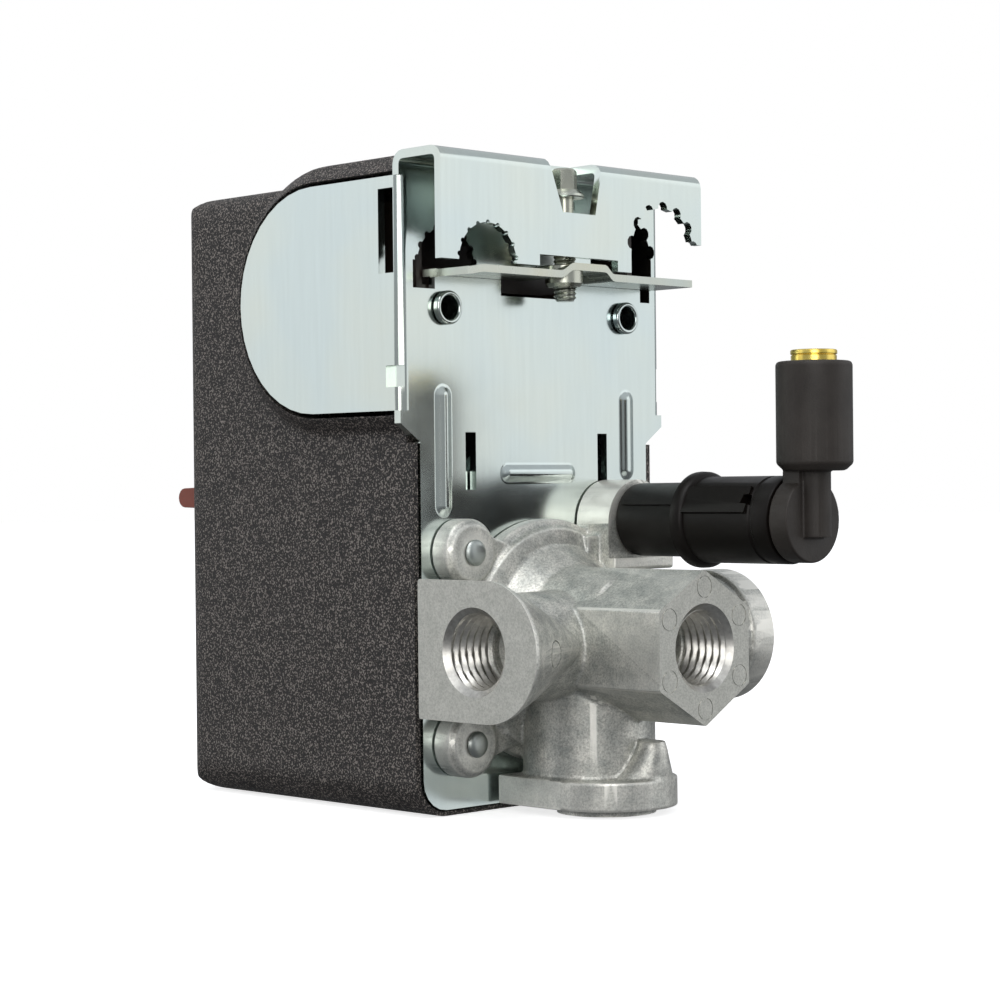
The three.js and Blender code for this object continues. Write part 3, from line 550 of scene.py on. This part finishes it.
def make_grained_plastic():
    """The cover's charcoal plastic, with a dense sparked grain: painted shade darkens its hollows and painted
    highlights make its tops pale.
    """
    plastic = Surface("cover_plastic", (0.022, 0.019, 0.018), 0.0, 0.6)
    base = plastic.ramp(
        plastic.noise(12, 3), (0.3, (0.0105, 0.0082, 0.0075)), (0.7, (0.0165, 0.0132, 0.0122)),
    )
    pebbles = plastic.noise(0.3, 2, roughness=0.5)
    # Painted shade: the colour is darkened where the grain's bump is low.
    painted_pit_shade = plastic.ramp(pebbles, (0.38, 0.15), (0.5, 1.0))
    # Painted highlight: the colour is made pale where the grain's bump is high.
    painted_grain_highlight = plastic.ramp(pebbles, (0.55, 0.0), (0.61, 1.0))
    pit_shaded_base = plastic.mix(base, painted_pit_shade, 1.0, "MULTIPLY")
    plastic.color(plastic.mix(pit_shaded_base, (0.24, 0.212, 0.192), painted_grain_highlight))
    plastic.roughness(plastic.noise(2.5, 4), 0.52, 0.66)
    plastic.bump(pebbles, 0.09, 0.8)
    return plastic.material


def make_brass():
    """Turned brass with tool rings round its upright axis."""
    brass = Surface("turned_brass", (0.8, 0.56, 0.2), 1.0, 0.24)
    brass.color(brass.ramp(brass.noise(1.5, 4), (0.3, (0.78, 0.56, 0.1)), (0.7, (0.95, 0.76, 0.22))))
    brass.roughness(brass.noise(0.6, 4), 0.16, 0.34)
    brass.bump(brass.noise(0.6, 2, along=(0.3, 0.3, 6)), 0.01, 0.4)
    return brass.material


ZINC = make_zinc("bright_zinc", (0.63, 0.7, 0.675), (0.61, 0.69, 0.685), (0.645, 0.7, 0.655), 0.17)
DULL_ZINC = make_zinc("dull_zinc", (0.5, 0.53, 0.5), (0.45, 0.49, 0.48), (0.52, 0.53, 0.49), 0.36)
YELLOW_ZINC = make_zinc("yellowish_zinc", (0.55, 0.57, 0.5), (0.5, 0.55, 0.52), (0.58, 0.56, 0.43), 0.26)
STEEL = make_steel()
CAST = make_cast()
FACED = make_faced()
THREAD = make_thread()
COVER_PLASTIC = make_grained_plastic()
VALVE_PLASTIC = make_plastic(
    "valve_plastic", (0.0038, 0.0026, 0.002), (0.006, 0.0044, 0.0034), 0.4, 0.25, 0.012, gloss=0.22,
)
CONNECTOR_PLASTIC = make_plastic(
    "connector_plastic", (0.023, 0.0188, 0.016), (0.042, 0.0355, 0.031), 0.5, 0.25, 0.03, gloss=0.4,
)
PHENOLIC = make_plastic("phenolic", (0.02, 0.014, 0.011), (0.034, 0.024, 0.018), 0.42, 0.6, 0.01)
RED_PLASTIC = make_plastic("red_plastic", (0.17, 0.026, 0.01), (0.24, 0.042, 0.016), 0.4, 0.4, 0.008)
RUBBER = make_plastic("rubber", (0.014, 0.014, 0.014), (0.024, 0.024, 0.024), 0.7, 0.3, 0.02)
BRASS = make_brass()

MATERIAL_OF_SLOT = {
    "zinc_steel": ZINC,
    "yellow_zinc": YELLOW_ZINC,
    "spring_steel": STEEL,
    "cast_alloy": CAST,
    "cover_plastic": COVER_PLASTIC,
    "valve_plastic": VALVE_PLASTIC,
    "connector_plastic": CONNECTOR_PLASTIC,
    "phenolic": PHENOLIC,
    "red_plastic": RED_PLASTIC,
    "brass": BRASS,
    "rubber": RUBBER,
}


# ---------------------------------------------------------------- manifold casting
# Faces that the die or a cutter makes flat are first built proud by STOCK, rounded with the rest,
# and then cut off at their true places.
def ear(x, z):
    """A stepped rivet ear with its web to the disc."""
    side = math.copysign(1, z - PORT_Z)
    outline = [(x, z - 4 * side), (x * 0.55, z - 9 * side), (x * 0.3, z), (x, z + 4 * side)]
    web = prism("Y", outline, -3.2, 0.5)
    return [rod("Y", 5.4, -3.5, 0.5, x, z), rod("Y", 4.7, -4.2, -3, x, z), web]


def tapped_port(axis, sign, face, cu, cv):
    """The cutter of a taper pipe thread with its countersink."""
    inward = -sign
    sink = turned(axis, [
        (0, face + sign), (PORT_RIM + 0.9, face + sign), (PORT_RIM, face),
        (PORT_RIM - 0.75, face + inward * 0.7), (5.9, face + inward * 0.9), (0, face + inward * 0.9),
    ], cu, cv)
    start, end = face + inward * 0.5, face + inward * 9.6
    screw = helix(axis, cu, cv, start, end, PIPE_PITCH, PORT_CORE, PORT_ROOT, PIPE_TAPER)
    tip = [(0, 9), (5.2, 9), (5.2, 10.6), (0, 12.6)]
    drill = turned(axis, [(radius, face + inward * depth) for radius, depth in tip], cu, cv, 48)
    return [sink, screw, drill]


def gusset(outline):
    """The web that narrows from the left face's outline to the foot of the hexagonal port."""
    tip_y = -18.9
    rings = []
    for x, share in ((-SIDE_FACE + 0.8, 0.99), (-24, 0.8), (-18, 0.5), (-12, 0.18)):
        rings.append([(x, tip_y + share * (y - tip_y), PORT_Z + share * (z - PORT_Z)) for y, z in outline])
    return loft(rings)


def gusset_mark():
    """The cutter of the round ejector mark on the gusset."""
    ring = turned("Y", [(1.95, -2), (2.2, -2), (2.2, 0.32), (1.95, 0.32), (1.95, -2)], 0, 0, 48)
    ring.data.transform(Matrix.Translation((-22.4, -25.35, 26.8)) @ Matrix.Rotation(math.radians(24), 4, "Z"))
    return ring


def casting_forms():
    """The overlapping solids whose union is the rough casting."""
    disc = turned("Y", [
        (0, 0.5), (DISC_RADIUS, 0.5), (DISC_RADIUS, -2.6), (DISC_RADIUS - 1.1, -2.9),
        (DISC_RADIUS - 1.5, -4.2), (15.6, -4.9), (12.4, -9.0), (11.0, -20.0), (0, -20.0),
    ], 0, PORT_Z)
    barrel = rod("Z", 10.7, 4.0, PORT_Z, 0, -10.9)
    hex_port = hexagon("Y", HEX_RADIUS, HEX_FACE - STOCK, -8, 0, PORT_Z)
    face_outline = [(-2.2, 38.0), (-2.2, 16.2), *arc(-17.2, 27.1, 10.9, 270, 90, 32)]
    left_face = prism("X", face_outline, -SIDE_FACE - STOCK, -SIDE_FACE + 0.9)
    left_back = block(-SIDE_FACE, -SIDE_FACE + 4.2, -13.5, -2.2, 16.4, 37.8)
    left_gusset = gusset(face_outline)
    tube = rod("X", 8.6, -26, 26, -11.6, PORT_Z)
    right_face = rod("X", 11.0, SIDE_FACE - 5.0, SIDE_FACE + STOCK, PORT_Y, PORT_Z)
    right_cone = loft([circle("X", -18.6, PORT_Z, 3.0, 8.5), circle("X", PORT_Y, PORT_Z, 10.8, 26)])
    foot_outline = [(11.1, -1.0), (-11.1, -1.0), *arc(0, -15.0, 11.1, 180, 360, 32)]
    foot = prism("Z", foot_outline, 1.1, 5.8)
    foot_ring = rod("Z", 8.0, -STOCK, 2, 0, PORT_Y)
    horn_rings = [
        (4.5, 0.8, -18.6, 7.3), (5.8, 1.2, -19.9, 6.0), (7.3, 1.2, -21.8, 4.3), (9.0, 1.2, -22.8, 3.2),
        (10.4, 1.2, -23.4, 2.5), (11.8, 1.2, -23.4, 2.1),
    ]
    horn = loft([circle("Z", x, y, radius, z) for z, x, y, radius in horn_rings])
    boss = [
        rod("Y", 7.3, VALVE_BOSS_FACE - STOCK, 0.5, 16.0, 45.9),
        block(8.7, 23.3, VALVE_BOSS_FACE - STOCK, 0.5, 38.2, 45.9),
        block(6.0, 20.0, -5.5, 0.5, 36, 44),
    ]
    ears = [piece for x, z in RIVETS for piece in ear(x, z)]
    return [
        disc, barrel, hex_port, left_face, left_back, left_gusset, tube, right_face, right_cone,
        foot, foot_ring, horn, *boss, *ears,
    ]


def face_off(body):
    """Cuts the port faces, the face on the plate and the valve boss flat."""
    far = 60
    return cut(
        body,
        block(-far, -SIDE_FACE, -far, far, -far, far),
        block(SIDE_FACE, far, -far, far, -far, far),
        block(-far, far, -far, HEX_FACE, -far, far),
        block(-far, far, -far, far, -far, 0),
        block(-far, far, -GAP, far, -far, far),
        block(5, 27, -far, VALVE_BOSS_FACE, 40.2, 60),
    )


def hexagon_marks():
    """The cutters of the six ejector marks round the hexagonal port."""
    above, below = HEX_FACE - 1, HEX_FACE + 0.12
    ring = [(1.6, above), (1.75, above), (1.75, below), (1.6, below), (1.6, above)]
    return [turned("Y", ring, x, z, 40) for x, z in arc(0, PORT_Z, 9.45, 30, 330, 5)]


def port_cutters():
    """The cutters of the four ports and of the passages between them."""
    ports = [
        *tapped_port("X", -1, -SIDE_FACE, PORT_Y, PORT_Z),
        *tapped_port("X", 1, SIDE_FACE, PORT_Y, PORT_Z),
        *tapped_port("Y", -1, HEX_FACE, 0, PORT_Z),
        *tapped_port("Z", -1, 0, 0, PORT_Y),
    ]
    passages = [
        rod("X", PASSAGE_RADIUS, -20, 20, PORT_Y, PORT_Z, 32),
        rod("Y", PASSAGE_RADIUS, -26, -3, 0, PORT_Z, 32),
        rod("Z", PASSAGE_RADIUS, 8, PORT_Z, 0, PORT_Y, 32),
        rod("Y", 17.4, -1.9, 1, 0, PORT_Z),
        rod("Y", 12.5, -3.2, 1, 0, PORT_Z),
        rod("Y", 5.2, -9, -3.2, VALVE_X, VALVE_Z),
        rod("Y", 1.9, -9, 1, VALVE_X, VALVE_Z, 32),
    ]
    return [*ports, *passages]


def build_casting():
    body = join(*casting_forms())
    as_cast(body, voxel=0.3, passes=5)
    thinned(body, degrees=2.5)
    face_off(body)
    marks = [*hexagon_marks(), gusset_mark()]
    rivet_holes = [rod("Y", RIVET_HOLE, -9, 1, x, z, 32) for x, z in RIVETS]
    return cut(body, *marks, *port_cutters(), *rivet_holes)


def in_port(point):
    """True if a point lies on the wall of one of the four ports."""
    reach = PORT_RIM + 0.05
    deep = 9.0
    x, y, z = point
    side = CUT_TOLERANCE < SIDE_FACE - abs(x) < deep and math.hypot(y - PORT_Y, z - PORT_Z) < reach
    front = CUT_TOLERANCE < y - HEX_FACE < deep and math.hypot(x, z - PORT_Z) < reach
    under = CUT_TOLERANCE < z < deep and math.hypot(x, y - PORT_Y) < reach
    return side or front or under


def casting_finish(point):
    """The material at a point of the casting: 0 is the skin, 1 a flat face and 2 a thread."""
    x, y, z = point
    if in_port(point):
        return 2
    faced = abs(x) > SIDE_FACE - CUT_TOLERANCE or y < HEX_FACE + CUT_TOLERANCE or z < CUT_TOLERANCE
    return 1 if faced else 0


def make_manifold():
    body = build_casting()
    finishes = [casting_finish(polygon.center) for polygon in body.data.polygons]
    place(
        body, "manifold_casting", "base", "manifold", "cast_alloy", CAST, FACED, THREAD,
        sharp=38, weighted=True,
    )
    for polygon, finish in zip(body.data.polygons, finishes):
        polygon.material_index = finish


# ---------------------------------------------------------------- sheet metal frame
def bead(middle, start, end, half, level=False):
    """A pressed bead with round ends, upright unless it is level, that swells out of the plate."""
    steps, turn_steps = 12, 14
    low, high = start + half, end - half
    rings = []
    for i in range(steps + 1):
        rise = BEAD_HEIGHT * math.sin(math.pi / 2 * i / steps) ** 2
        spread = half * (1 - i / steps) + 0.12
        if level:
            turns = [(high, middle, spread, -90, 90), (low, middle, spread, 90, 270)]
        else:
            turns = [(middle, high, spread, 0, 180), (middle, low, spread, 180, 360)]
        outline = [point for turn in turns for point in arc(*turn, turn_steps)]
        rings.append([(x, -rise, z) for x, z in outline])
    root = [(x, 0.4, z) for x, _, z in rings[0]]
    return loft([root, *rings])


def make_frame():
    """The CAD frame with its plain beads cut off at the plate and rounded ones in their places."""
    shell = from_cad("frame")
    cut(shell, block(-25, 25, -1, 0, 45, 70))
    merged(shell)
    join(
        shell,
        bead(-21.4, 47.4, 68.6, 1.9),
        bead(21.4, 53.0, 68.6, 1.9),
        bead(54.4, -8.8, 8.8, 1.7, level=True),
    )
    eased(shell, width=0.14)
    place(shell, "folded_frame", "base", "frame", "zinc_steel", ZINC, sharp=50, weighted=True)


def cover_form(inset, front, radius, top_radius):
    """The cover's block form, rounded at the back and along its long edges, set in by inset."""
    half, back, top = COVER_HALF - inset, COVER_BACK - inset, COVER_TOP - inset
    side = rounded(front, back, inset, top, (0, radius, radius, 0))
    face = rounded(-half, half, inset, top, (radius, radius, top_radius, top_radius))
    plan = rounded(-half, half, front, back, (0, 0, radius, radius))
    form = prism("X", side, -half, half)
    return combine(form, [prism("Y", face, front, back), prism("Z", plan, inset, top)], "INTERSECT")


def d_outline(radius, front):
    """The D of a side flange in Y and Z: flat at the front, round at the back."""
    return [
        (front, FLANGE_MID_Z + radius), (front, FLANGE_MID_Z - radius),
        *arc(FLANGE_MID_Y, FLANGE_MID_Z, radius, -90, 90, 64),
    ]


def make_cover():
    """The moulded cover, hollow, with a hood over the flanges, a lever slot and a screw hole."""
    proud = 2
    hood_front = SHEET + GAP + 0.05
    rings = [(-30.3, HOOD_RIM), (-27.2, HOOD_RADIUS), (27.2, HOOD_RADIUS), (30.3, HOOD_RIM)]
    hood = loft([[(x, y, z) for y, z in d_outline(radius, hood_front - proud)] for x, radius in rings])
    shell = join(cover_form(0, GAP - proud, 6.0, 4.5), hood)
    as_cast(shell, voxel=0.55, passes=8)
    thinned(shell, degrees=1.2)
    inner = COVER_HALF - COVER_WALL
    pocket = rounded(-26.7, 26.7, 0.7, 61, (5.3, 5.3, 0, 0))
    (slot_left, slot_low), (slot_right, slot_high) = LEVER_SLOT
    cut(
        shell,
        block(-40, 40, -10, GAP, -10, 120),
        block(-33, 33, -10, hood_front, 59.2, 110),
        cover_form(COVER_WALL, -3, 2.5, 2.0),
        prism("X", d_outline(HOOD_RADIUS - COVER_WALL, -3), -inner, inner),
        prism("X", d_outline(FLANGE_RADIUS + 0.75, -3), -32, 32),
        prism("Y", pocket, -3, hood_front),
        block(slot_left, slot_right, 55, 62, slot_low, slot_high),
        rod("Y", 2.0, 55, 62, *COVER_SCREW, 32),
    )
    place(shell, "moulded_cover", "cover", "cover", "cover_plastic", COVER_PLASTIC, sharp=40)


# ---------------------------------------------------------------- clamp
def clamp_height(x):
    """Height of the clamp plate above its flat, along the plate."""
    def rise(start, end):
        t = min(max((x - start) / (end - start), 0.0), 1.0)
        return t * t * (3 - 2 * t)
    hump = CLAMP_HUMP * (rise(-3.4, -0.2) - rise(7.0, 9.2))
    return hump - CLAMP_DROOP * rise(-20.5, CLAMP_LEFT)


def make_clamp():
    steps = 110
    xs = [CLAMP_LEFT + (CLAMP_RIGHT - CLAMP_LEFT) * i / steps for i in range(steps + 1)]
    upper = [(x, CLAMP_TOP + clamp_height(x)) for x in xs]
    lower = [(x, z - CLAMP_SHEET) for x, z in reversed(upper)]
    plate = prism("Y", [*upper, *lower], -9.0, -0.4)
    hump_top = CLAMP_TOP + CLAMP_HUMP
    join(
        plate,
        block(-24.2, -23.2, -1.5, SHEET, CLAMP_TOP - CLAMP_SHEET - 0.3, CLAMP_TOP - 0.35),
        block(25.8, 27.2, -1.5, SHEET, CLAMP_TOP - CLAMP_SHEET + 0.01, CLAMP_TOP - 0.01),
        turned("Z", [
            (0, hump_top - 0.4), (3.1, hump_top - 0.4), (3.1, 85.2), (2.6, 84.6), (0, 84.6),
        ], CLAMP_SCREW_X, CLAMP_SCREW_Y + 0.2),
    )
    cut(plate, rod("Z", 2.05, 80, 92, CLAMP_SCREW_X, CLAMP_SCREW_Y))
    eased(plate, width=0.16)
    place(plate, "clamp_plate", "cable_clamp", "cable_clamp", "yellow_zinc", YELLOW_ZINC, weighted=True)


def make_clamp_screw():
    x, y = CLAMP_SCREW_X, CLAMP_SCREW_Y
    shank = turned("Z", [
        (0, SCREW_TIP), (1.4, SCREW_TIP), (1.5, SCREW_TIP + 0.3), (1.5, WASHER_Z), (0, WASHER_Z),
    ], x, y, 48)
    thread = helix("Z", x, y, SCREW_TIP + 0.2, 92.4, CLAMP_PITCH, SCREW_CORE, SCREW_CREST, count=40)
    rim = [(0, 99.1), (3.15, 99.1), (3.3, 99.3), (3.2, 99.7), (2.4, 100.4), (0, 100.4)]
    washer = turned("Z", rim, x, y)
    screw = join(shank, thread, washer, screw_head(x, y))
    place(screw, "clamp_screw_threaded", "clamp_screw", "clamp_screw", "yellow_zinc", YELLOW_ZINC)


def screw_head(x, y):
    """A hexagonal screw head with a domed chamfer."""
    head = hexagon("Z", 2.2, SCREW_HEAD_Z, SCREW_HEAD_TOP, x, y)
    dome = turned("Z", [
        (0, WASHER_Z), (2.3, WASHER_Z), (2.3, SCREW_HEAD_TOP - 0.6), (1.6, SCREW_HEAD_TOP),
        (0, SCREW_HEAD_TOP + 0.3),
    ], x, y)
    combine(head, [dome], "INTERSECT")
    return eased(head, width=0.12)


# ---------------------------------------------------------------- fasteners through the plate
def make_fasteners():
    for i, (x, z) in enumerate(RIVETS, 1):
        rivet = turned("Y", [
            (0, -5.25), (0.9, -5.22), (1.5, -5.1), (1.95, -4.85), (2.1, -4.6), (2.05, -4.4), (1.75, -4.35),
            (1.75, 1.7), (3.0, 1.7), (2.9, 2.3), (2.5, 2.6), (0, 2.6),
        ], x, z)
        place(rivet, f"rivet_{i}", "base", f"manifold_rivet_{i}", "zinc_steel", DULL_ZINC)
    for i, (x, z) in enumerate(EYELETS, 1):
        lip = arc(2.3, -1.0, 0.4, 180, 360, 9)
        eyelet = turned("Y", [
            *lip, (2.7, -0.32), (2.35, -0.3), (2.35, 4.6), (1.9, 4.6), lip[0],
        ], x, z)
        place(eyelet, f"eyelet_{i}", "base", f"block_eyelet_{i}", "zinc_steel", ZINC)


# ---------------------------------------------------------------- unloader valve
def make_valve():
    """The valve body: a grooved spigot, a neck, a flange and a barrel with a pad, rib and vent."""
    spigot = [(0, -3.7), (4.8, -3.7), (4.8, -4.7), (3.9, -4.75), (3.9, -5.85), (4.8, -5.9), (4.8, -7.8)]
    neck = [(5.5, -7.8), (5.95, -8.2), (6.05, -8.7), (BODY_NECK, -20.2)]
    flange = [
        (6.5, -20.9), (7.4, -21.15), (7.8, -21.5), (BODY_FLANGE, -22.0), (7.8, -23.0), (7.5, -23.5),
    ]
    barrel = [
        (7.05, -23.75), (BODY_RADIUS, -24.2), (BODY_RADIUS, -36.9), (6.8, -37.1), (6.8, -37.5),
        (BODY_RADIUS, -37.7), (BODY_RADIUS, -40.4), (6.85, -40.75), (6.5, BODY_END), (0, BODY_END),
    ]
    body = turned("Y", [*spigot, *neck, *flange, *barrel], VALVE_X, VALVE_Z, 96)
    turn = Matrix.Translation((VALVE_X, 0, VALVE_Z)) @ Matrix.Rotation(math.radians(RIB_TURN), 4, "Y")
    pad = block(-2.3, 2.3, -36.6, -23.6, 5.0, 7.25)
    pad.data.transform(turn)
    rib = block(-0.45, 0.45, -20.3, -9.5, 5.0, 6.3)
    rib.data.transform(turn)
    join(body, pad, rib)
    bore = turned("Y", [
        (0, BODY_END - 1), (4.3, BODY_END - 1), (4.3, -32.0), (3.4, -31.5), (3.4, -14.0), (1.9, -13.0),
        (1.9, -2), (0, -2),
    ], VALVE_X, VALVE_Z, 48)
    vent = prism("Z", [(-0.9, -37.2), (0.9, -37.0), (0.8, -35.6), (-0.7, -35.3)], 5.6, 9)
    vent.data.transform(turn)
    cut(body, bore, vent)
    eased(body, width=0.1)
    place(body, "valve_body", "base", "unloader_body", "valve_plastic", VALVE_PLASTIC, sharp=30)


def make_elbow():
    """The elbow: a banjo head on the valve's axis and a tube socket that stands on it."""
    head = turned("Y", [
        (0, -34.0), (4.0, -34.0), (4.0, -41.1), (6.65, -41.1), (ELBOW_HEAD, -41.25),
        (ELBOW_HEAD, -44.35), (6.6, ELBOW_FACE), (0, ELBOW_FACE),
    ], VALVE_X, VALVE_Z, 96)
    neck = rod("Z", 2.5, VALVE_Z - 2.7, 55.5, VALVE_X, TUBE_Y)
    shoulder = block(VALVE_X - 3.4, VALVE_X + 3.4, ELBOW_FACE + 0.05, -41.3, VALVE_Z, 55.0)
    socket = turned("Z", [
        (0, 54.2), (4.5, 54.2), (5.0, 54.4), (5.85, 55.2), (TUBE_RADIUS, 55.6), (TUBE_RADIUS, TUBE_TOP - 0.6),
        (5.8, TUBE_TOP - 0.15), (5.4, TUBE_TOP), (0, TUBE_TOP),
    ], VALVE_X, TUBE_Y, 96)
    elbow = join(head, neck, shoulder, socket)
    as_cast(elbow, voxel=0.17, passes=2)
    thinned(elbow, degrees=2.0)
    bore = turned("Z", [
        (0, VALVE_Z - 1), (1.3, VALVE_Z - 1), (1.3, 56.2), (2.1, 56.4), (2.1, 60.0), (4.4, 60.2), (4.4, 66.4),
        (COLLAR_NECK + GAP, 66.6), (COLLAR_NECK + GAP, TUBE_TOP + 1), (0, TUBE_TOP + 1),
    ], VALVE_X, TUBE_Y, 48)
    cut(elbow, bore, rod("Y", 1.3, TUBE_Y, -30, VALVE_X, VALVE_Z, 32))
    place(elbow, "elbow_moulding", "elbow", "elbow_connector", "connector_plastic", CONNECTOR_PLASTIC)


def make_collar():
    """The release collar: a sleeve in the socket with a grooved button above it."""
    collar = turned("Z", [
        (2.1, 65.0), (COLLAR_NECK - 0.3, 65.0), (COLLAR_NECK, 65.4), (COLLAR_NECK, TUBE_TOP - 0.95),
        (3.58, TUBE_TOP - 0.85), (3.58, TUBE_TOP + 0.85), (3.42, TUBE_TOP + 0.93), (3.42, TUBE_TOP + 1.0),
        (3.6, TUBE_TOP + 1.08), (3.65, TUBE_TOP + 1.15), (3.65, COLLAR_TOP - 0.25),
        (3.58, COLLAR_TOP - 0.08), (3.4, COLLAR_TOP), (2.5, COLLAR_TOP - 0.02), (2.2, COLLAR_TOP - 0.25),
        (2.1, COLLAR_TOP - 0.6), (2.1, 65.0),
    ], VALVE_X, TUBE_Y)
    place(collar, "tube_collar", "release_collar", "release_collar", "brass", BRASS)


# ---------------------------------------------------------------- the rest of the CAD pieces
def dress_remaining():
    """Every CAD piece that keeps its own shape gets its slot's material and softened edges."""
    slots = {row["node"]: row["material_slot"] for row in frame["record"]["subparts"]}
    body_of = {
        node: body for body, nodes in frame["record"]["behaviour"]["bodies"].items() for node in nodes
    }
    for name, item in sorted(frame["nodes"].items()):
        if item.hide_render:
            continue
        copy = from_cad(name)
        eased(copy, width=min(WIDEST_EASE, min(copy.dimensions) * EASE_SHARE))
        slot = slots[name]
        place(copy, f"{name}_finished", body_of[name], name, slot, MATERIAL_OF_SLOT[slot], weighted=True)


# ---------------------------------------------------------------- studio
def make_camera():
    """A long lens at the height of the part's middle, turned to its front left edge."""
    azimuth, elevation, roll = (math.radians(a) for a in CAMERA_ANGLES)
    eye = TO_ROW @ Vector(CAMERA_PLACE)
    flat = math.cos(elevation)
    back = Vector((math.sin(azimuth) * flat, -math.cos(azimuth) * flat, math.sin(elevation)))
    data = bpy.data.cameras.new("camera")
    data.lens = CAMERA_LENS
    data.sensor_width = 36
    data.clip_start = 0.01
    camera = bpy.data.objects.new("camera", data)
    bpy.context.scene.collection.objects.link(camera)
    aim = (-back).to_track_quat("-Z", "Y").to_matrix().to_4x4()
    camera.matrix_world = Matrix.Translation(eye) @ aim @ Matrix.Rotation(roll, 4, "Z")
    bpy.context.scene.camera = camera


def make_softbox(name, place_at, size, power, color):
    data = bpy.data.lights.new(name, "AREA")
    data.shape = "RECTANGLE"
    data.size = size
    data.size_y = size
    data.energy = power
    data.color = color
    light = bpy.data.objects.new(name, data)
    bpy.context.scene.collection.objects.link(light)
    light.location = place_at
    light.rotation_euler = (Vector(LIGHT_AIM) - Vector(place_at)).to_track_quat("-Z", "Y").to_euler()


def make_surroundings():
    """White paper behind the part. What lights it is brighter above than below."""
    world = bpy.data.worlds.new("studio")
    world.use_nodes = True
    tree = world.node_tree
    paper = tree.nodes["Background"]
    paper.inputs["Color"].default_value = (1, 1, 1, 1)
    paper.inputs["Strength"].default_value = 1.0
    light = tree.nodes.new("ShaderNodeBackground")
    direction = tree.nodes.new("ShaderNodeTexCoord").outputs["Generated"]
    split = tree.nodes.new("ShaderNodeSeparateXYZ")
    tree.links.new(direction, split.inputs[0])
    ramp = tree.nodes.new("ShaderNodeMapRange")
    ramp.interpolation_type = "SMOOTHSTEP"
    ramp.inputs["From Min"].default_value, ramp.inputs["From Max"].default_value = SKY_HEIGHTS
    ramp.inputs["To Min"].default_value, ramp.inputs["To Max"].default_value = SKY_STRENGTHS
    tree.links.new(split.outputs["Z"], ramp.inputs["Value"])
    tree.links.new(ramp.outputs["Result"], light.inputs["Strength"])
    light.inputs["Color"].default_value = (*SKY_COLOR, 1)
    choose = tree.nodes.new("ShaderNodeMixShader")
    seen = tree.nodes.new("ShaderNodeLightPath").outputs["Is Camera Ray"]
    tree.links.new(seen, choose.inputs["Fac"])
    tree.links.new(light.outputs[0], choose.inputs[1])
    tree.links.new(paper.outputs[0], choose.inputs[2])
    tree.links.new(choose.outputs[0], tree.nodes["World Output"].inputs["Surface"])
    return world


def make_studio():
    scene = bpy.context.scene
    scene.view_settings.view_transform = "Standard"
    scene.view_settings.look = "None"
    scene.world = make_surroundings()

    for softbox in SOFTBOXES:
        make_softbox(*softbox)


def make_floor():
    """A pale sheet that shows the part's soft shadow."""
    floor = block(-3000, 3000, -3000, 3000, -20, -0.05)
    floor.name = "floor"
    floor.data.transform(TO_ROW)
    paper = Surface("paper", (0.8, 0.8, 0.8), 0.0, 0.9)
    paper.color(paper.ramp(paper.noise(40, 2), (0.3, 0.79), (0.7, 0.8)))
    paper.shader.inputs["Emission Color"].default_value = (1, 1, 1, 1)
    paper.shader.inputs["Emission Strength"].default_value = FLOOR_GLOW
    floor.data.materials.append(paper.material)
    floor.visible_diffuse = False
    floor.visible_glossy = False
    floor.visible_shadow = False


make_camera()
make_studio()
make_floor()
make_manifold()
make_frame()
make_cover()
make_clamp()
make_clamp_screw()
make_fasteners()
make_valve()
make_elbow()
make_collar()
dress_remaining()
